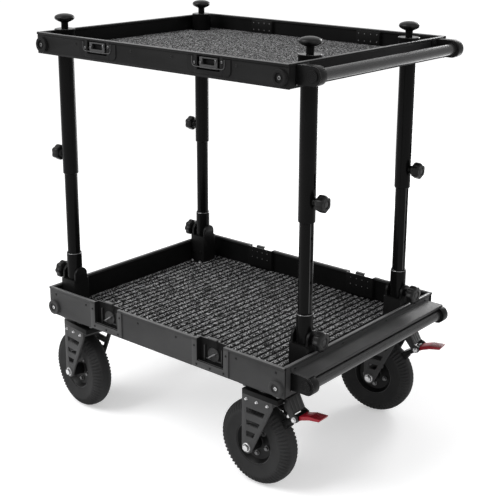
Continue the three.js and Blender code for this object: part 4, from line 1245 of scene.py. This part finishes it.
# Casters: fork, rim, ribbed tyre and, on the right, the brake
casterLook = {
    "places": {  # from the deck's middle, and turned by degrees
        "front_left": (-0.300, -0.240, -8),
        "back_left": (-0.300, 0.240, 4),
        "front_right": (0.300, -0.240, 0),
        "back_right": (0.300, 0.240, 8),
    },
    "trail": 0.034,
    "wheelRadius": 0.1015,
    "tyreHalf": 0.026,
    "well": 0.0515,
    "flange": 0.0555,
    "rimHalf": 0.020,
    "hub": 0.015,
    "hubHalf": 0.0394,
    "bore": 0.0063,
    "nuts": (5, 0.029, 0.0069),  # number, circle and distance from the wheel's middle
    "treadSteps": 30,
    "treadTurn": 112,  # degrees from the crown to the bead
    "treadPower": 0.86,  # squares the shoulders
    "treadFlat": (0.5, 0.02),  # half of the flatter crown, and its share
    "ribs": 64,
    "ribHeight": 0.0018,
    "ribZone": (0.05, 0.93),  # shares of the way from the wall's middle to the crown
    "ribFade": (0.15, 0.08),
    "crownHalf": 0.006,
    "crownGroove": (0.0045, 0.0014, 0.0009),  # place, half width and depth
    "forkGap": 0.0275,  # the fork's top over the tyre
    "headRise": 0.0115,
    "forkOuter": 0.045,
    "bearing": 0.0362,
    "axleWasher": (0.012, 0.0016),  # radius and thickness
    "boltRow": (-0.036, -0.006, 0.024),  # along the top of a fork plate, from the swivel axis
    "boltDrop": 0.010,
    "mountBolts": (0.047, 0.037),
}


def casterPlace(corner):
    x, y, yaw = casterLook["places"][corner]
    return shift(deckCentreX + x, y, 0) @ turnZ(yaw)


# A tyre's section as a ring about Z, with the ribs on its walls and two grooves on its crown
def tyreModel():
    look = casterLook
    radius, across, flange, half = look["wheelRadius"], look["tyreHalf"], look["flange"], look["rimHalf"]
    middle, rise = (radius + flange) / 2, (radius - flange) / 2
    flatHalf, flatShare = look["treadFlat"]
    tread = []
    for i in range(look["treadSteps"] + 1):
        turn = math.radians(look["treadTurn"] * (1 - 2 * i / look["treadSteps"]))
        squash = 1 - flatShare * max(0, flatHalf - abs(turn))
        swell = math.copysign(abs(math.sin(turn)) ** look["treadPower"], math.sin(turn))
        tread.append((min(middle + rise * math.cos(turn) * squash, radius - 0.0002), across * swell))
    bead = [(flange + 0.0006, half - 0.0040), (flange + 0.0006, half + 0.0005), (0.0506, half + 0.0007)]
    bead += [(0.0502, half + 0.0020)]
    steps = look["ribs"] * 4
    tyre = spun("tyre", withMirror(bead, tread), steps, closed=True)
    lowest, highest = look["ribZone"]
    fadeLow, fadeHigh = look["ribFade"]
    crown, (groove, grooveHalf, grooveDepth) = look["crownHalf"], look["crownGroove"]
    for corner in tyre.data.vertices:
        away, z = math.hypot(corner.co.x, corner.co.y), corner.co.z
        share = (away - middle) / (radius - middle)
        inwards = 0
        if lowest < share < highest and abs(z) > crown:
            step = round(math.atan2(corner.co.y, corner.co.x) / (2 * math.pi) * steps)
            if step % 4 in (0, 1):
                fade = min(1, (share - lowest) / fadeLow, (highest - share) / fadeHigh)
                inwards = look["ribHeight"] * fade * 0.9
                corner.co.z -= math.copysign(look["ribHeight"] * fade, z)
        elif abs(z) <= crown and share > 0.9 and abs(abs(z) - groove) < grooveHalf:
            inwards = grooveDepth
        corner.co.x *= 1 - inwards / away
        corner.co.y *= 1 - inwards / away
    return tyre


def makeWheels():
    look = casterLook
    well, flange, half, hub = look["well"], look["flange"], look["rimHalf"], look["hub"]
    bore, hubHalf = look["bore"], look["hubHalf"]
    rim = spun("wheelRim", withMirror([
        (bore, hubHalf), (hub - 0.001, hubHalf), (hub, hubHalf - 0.001), (hub, 0.0085), (hub + 0.002, 0.0070),
        (0.0390, 0.0068), (0.0425, 0.0085), (0.0470, 0.0182), (0.0485, half), (0.0520, half + 0.0004),
        (flange - 0.0006, half), (flange, half - 0.0008), (flange - 0.0002, half - 0.0028),
        (well, half - 0.0034),
    ]), 96, closed=True)
    # a thin ring on each side of the rim, painted as a highlight on its edge
    single = spun("rimEdgeHighlight", [
        (0.0488, half + 0.0002), (0.0502, half + 0.0002), (0.0500, half + 0.0010), (0.0490, half + 0.0010),
    ], 96, closed=True)
    ring = repeated("rimEdgeHighlight", single, [shift(0, 0, 0), Matrix.Rotation(math.pi, 4, "X")])
    nut = boltModel("rimNut")
    count, circle, out = look["nuts"]
    turns = [2 * math.pi * (i + 0.25) / count for i in range(count)]
    spots = [at((circle * math.cos(turn), circle * math.sin(turn), s * out), (0, 0, s), i)
             for s in (-1, 1) for i, turn in enumerate(turns)]
    nuts = repeated("rimNuts", nut, spots)
    tyre = tyreModel()
    lay = at((-look["trail"], 0, look["wheelRadius"]), (0, 1, 0))
    for corner in corners:
        place = casterPlace(corner) @ lay
        node = "wheel_rim_" + corner
        standIn(copyOf(rim, "wheelRim_" + corner, place), "rimBlack", node)
        settle(copyOf(ring, "rimEdgeHighlight_" + corner, place), "dimEdgeHighlight", node)
        settle(copyOf(nuts, "rimNuts_" + corner, place), "zincDark", node)
        node = "tyre_" + corner
        standIn(copyOf(tyre, "tyre_" + corner + "_rubber", place), "rubber", node, 40)
    dropped(rim, single, ring, nut, nuts, tyre)
    print("wheels done")


def makeForks():
    look = casterLook
    trail, outer, radius, bearing = look["trail"], look["forkOuter"], look["wheelRadius"], look["bearing"]
    forkTop = radius * 2 + look["forkGap"]
    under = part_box("lower_floor_pan")[0].z
    wide, thick = look["axleWasher"]
    washer = spun("axleWasher", [
        (0.0, 0.0), (wide, 0.0), (wide, thick - 0.0005), (wide - 0.0008, thick), (0.0, thick),
    ], 48)
    swivel = spun("bearing", [
        (0.012, 0.0), (bearing - 0.003, 0.0), (bearing, 0.0026), (bearing, 0.0048), (0.0335, 0.0054),
        (0.0335, 0.0066), (bearing + 0.0002, 0.0072), (bearing + 0.0002, 0.0096), (0.012, 0.0096),
    ], 96, closed=True)
    bolt, axle, mountBolt = boltModel("forkBolt"), boltModel("axleBolt"), boltModel("mountBolt")
    row = [(x, s) for s in (-1, 1) for x in look["boltRow"]]
    halfX, halfY = look["mountBolts"]
    axleRows = (("axleBolts_", axle, "zinc", 0.0014), ("axleWashers_", washer, "zincDark", 0))
    for corner in corners:
        node, place = "caster_fork_" + corner, casterPlace(corner)
        fork = painted(dressedCopy(node, "casterFork_" + corner, 0.0007), "forkGrey")
        splitAt(fork, (0, 0, forkTop - 0.0002), (0, 0, 1))
        standIn(partlyPainted(fork, "steelDark", lambda spot, normal: spot.z > forkTop), "forkGrey", node)
        seat = place @ shift(0, 0, forkTop + look["headRise"] + 0.0001)
        settle(copyOf(swivel, "swivelBearing_" + corner, seat), "zincDark", node)
        spots = [place @ at((x, s * outer, forkTop - look["boltDrop"]), (0, s, 0), x * 40) for x, s in row]
        settle(repeated("forkBolts_" + corner, bolt, spots), "zinc", node)
        for name, model, finish, out in axleRows:
            spots = [place @ at((-trail, s * (outer + out), radius), (0, s, 0)) for s in (-1, 1)]
            settle(repeated(name + corner, model, spots), finish, node)
        x, y = look["places"][corner][:2]
        spots = [at((deckCentreX + x + dx, y + dy, under), (0, 0, -1), dx * 20)
                 for dx in (-halfX, halfX) for dy in (-halfY, halfY)]
        settle(repeated("mountBolts_" + corner, mountBolt, spots), "zincDark", "lower_floor_pan")
    dropped(bolt, axle, washer, mountBolt, swivel)
    print("forks done")


brakeLook = {
    "reach": 0.080,
    "height": 0.198,
    "half": 0.022,
    "hub": 0.0088,
    "redFrom": 0.95,  # share of the hub's radius
    "ridges": (-0.0165, -0.0055, 0.0055, 0.0165),  # across the housing's sloping face
    "ridgeShare": 0.44,  # half length, of the sloping face
    "ridgeSize": (0.0034, 0.0012),  # width and rise
    "faceLine": ((0.0608, 0.2420), (0.0765, 0.2116)),  # the sloping face's ends, ahead of the swivel and up
    "teeth": 7,
    "toothSize": (0.0026, 0.0016),
    "toothRow": ((0.0360, 0.0160), (0.0625, 0.0178)),  # first and last place on the tongue, from the pivot
    "pedalHalf": 0.0148,
}


# A bar with its middle at (x, y, z), leaning down towards +X by an angle
def leaningBar(name, half, place, lean):
    low = [-size for size in half]
    return placed(block(name, low, half, 0.0005), shift(*place) @ Matrix.Rotation(lean, 4, "Y"))


# Bars along the sloping front of the housing, between the head plate and the mouth
def ridgedFace():
    look = brakeLook
    width, rise = look["ridgeSize"]
    (topX, topZ), (lowX, lowZ) = look["faceLine"]
    half = (math.hypot(lowX - topX, lowZ - topZ) * look["ridgeShare"], width / 2, rise / 2)
    slope = math.atan2(topZ - lowZ, lowX - topX)
    places = [((topX + lowX) / 2, across, (topZ + lowZ) / 2) for across in look["ridges"]]
    return joined("housingRidges", [leaningBar("ridge", half, place, slope) for place in places])


# Cross bars on the pedal's tongue that give the shoe a hold
def pedalTeeth():
    look = brakeLook
    (nearX, nearZ), (farX, farZ) = look["toothRow"]
    width, rise = look["toothSize"]
    half = (width / 2, look["pedalHalf"], rise / 2)
    slope = math.atan2(nearZ - farZ, farX - nearX)
    shares = [i / (look["teeth"] - 1) for i in range(look["teeth"])]
    places = [(nearX + (farX - nearX) * share, 0, nearZ + (farZ - nearZ) * share) for share in shares]
    return joined("pedalTeeth", [leaningBar("tooth", half, place, slope) for place in places])


def makeBrakes():
    look = brakeLook
    reach, height = look["reach"], look["height"]
    redFrom = reach + look["hub"] * look["redFrom"]
    bolt, ridges, teeth = boltModel("brakeBolt"), ridgedFace(), pedalTeeth()
    for corner in ("front_right", "back_right"):
        place = casterPlace(corner)
        node = "brake_housing_" + corner
        housing = painted(dressedCopy(node, "brakeHousing_" + corner, 0.0006), "housingGrey")
        standIn(housing, "housingGrey", node)
        spots = [place @ at((reach, s * (look["half"] + 0.0004), height), (0, s, 0)) for s in (-1, 1)]
        settle(repeated("brakeBolts_" + corner, bolt, spots), "zinc", node)
        settle(copyOf(ridges, "housingRidges_" + corner, place), "housingGrey", node)
        node = "brake_pedal_" + corner
        pedal = painted(dressedCopy(node, "brakePedal_" + corner, 0.0009), "steelDark")
        splitAt(pedal, place @ Vector((redFrom, 0, 0)), place.to_3x3() @ Vector((1, 0, 0)))
        inverse = place.inverted()
        partlyPainted(pedal, "red", lambda spot, normal: (inverse @ spot).x > redFrom)
        standIn(pedal, "red", node)
        # the teeth are painted a darker red, standing in for the shade in the grooves between them
        settle(copyOf(teeth, "pedalTeeth_" + corner, place @ shift(reach, 0, height)), "redToothShade", node)
    dropped(bolt, ridges, teeth)
    print("brakes done")


addStudio()
addCamera()
bpy.context.scene.view_settings.view_transform = "Standard"
print("studio ready")

makeTrayWalls()
makeLatches()
makeCarpets()
makeSockets()
makePosts()
makeSideKnobs()
makeTopKnobs()
makeHandles()
makeWheels()
makeForks()
makeBrakes()
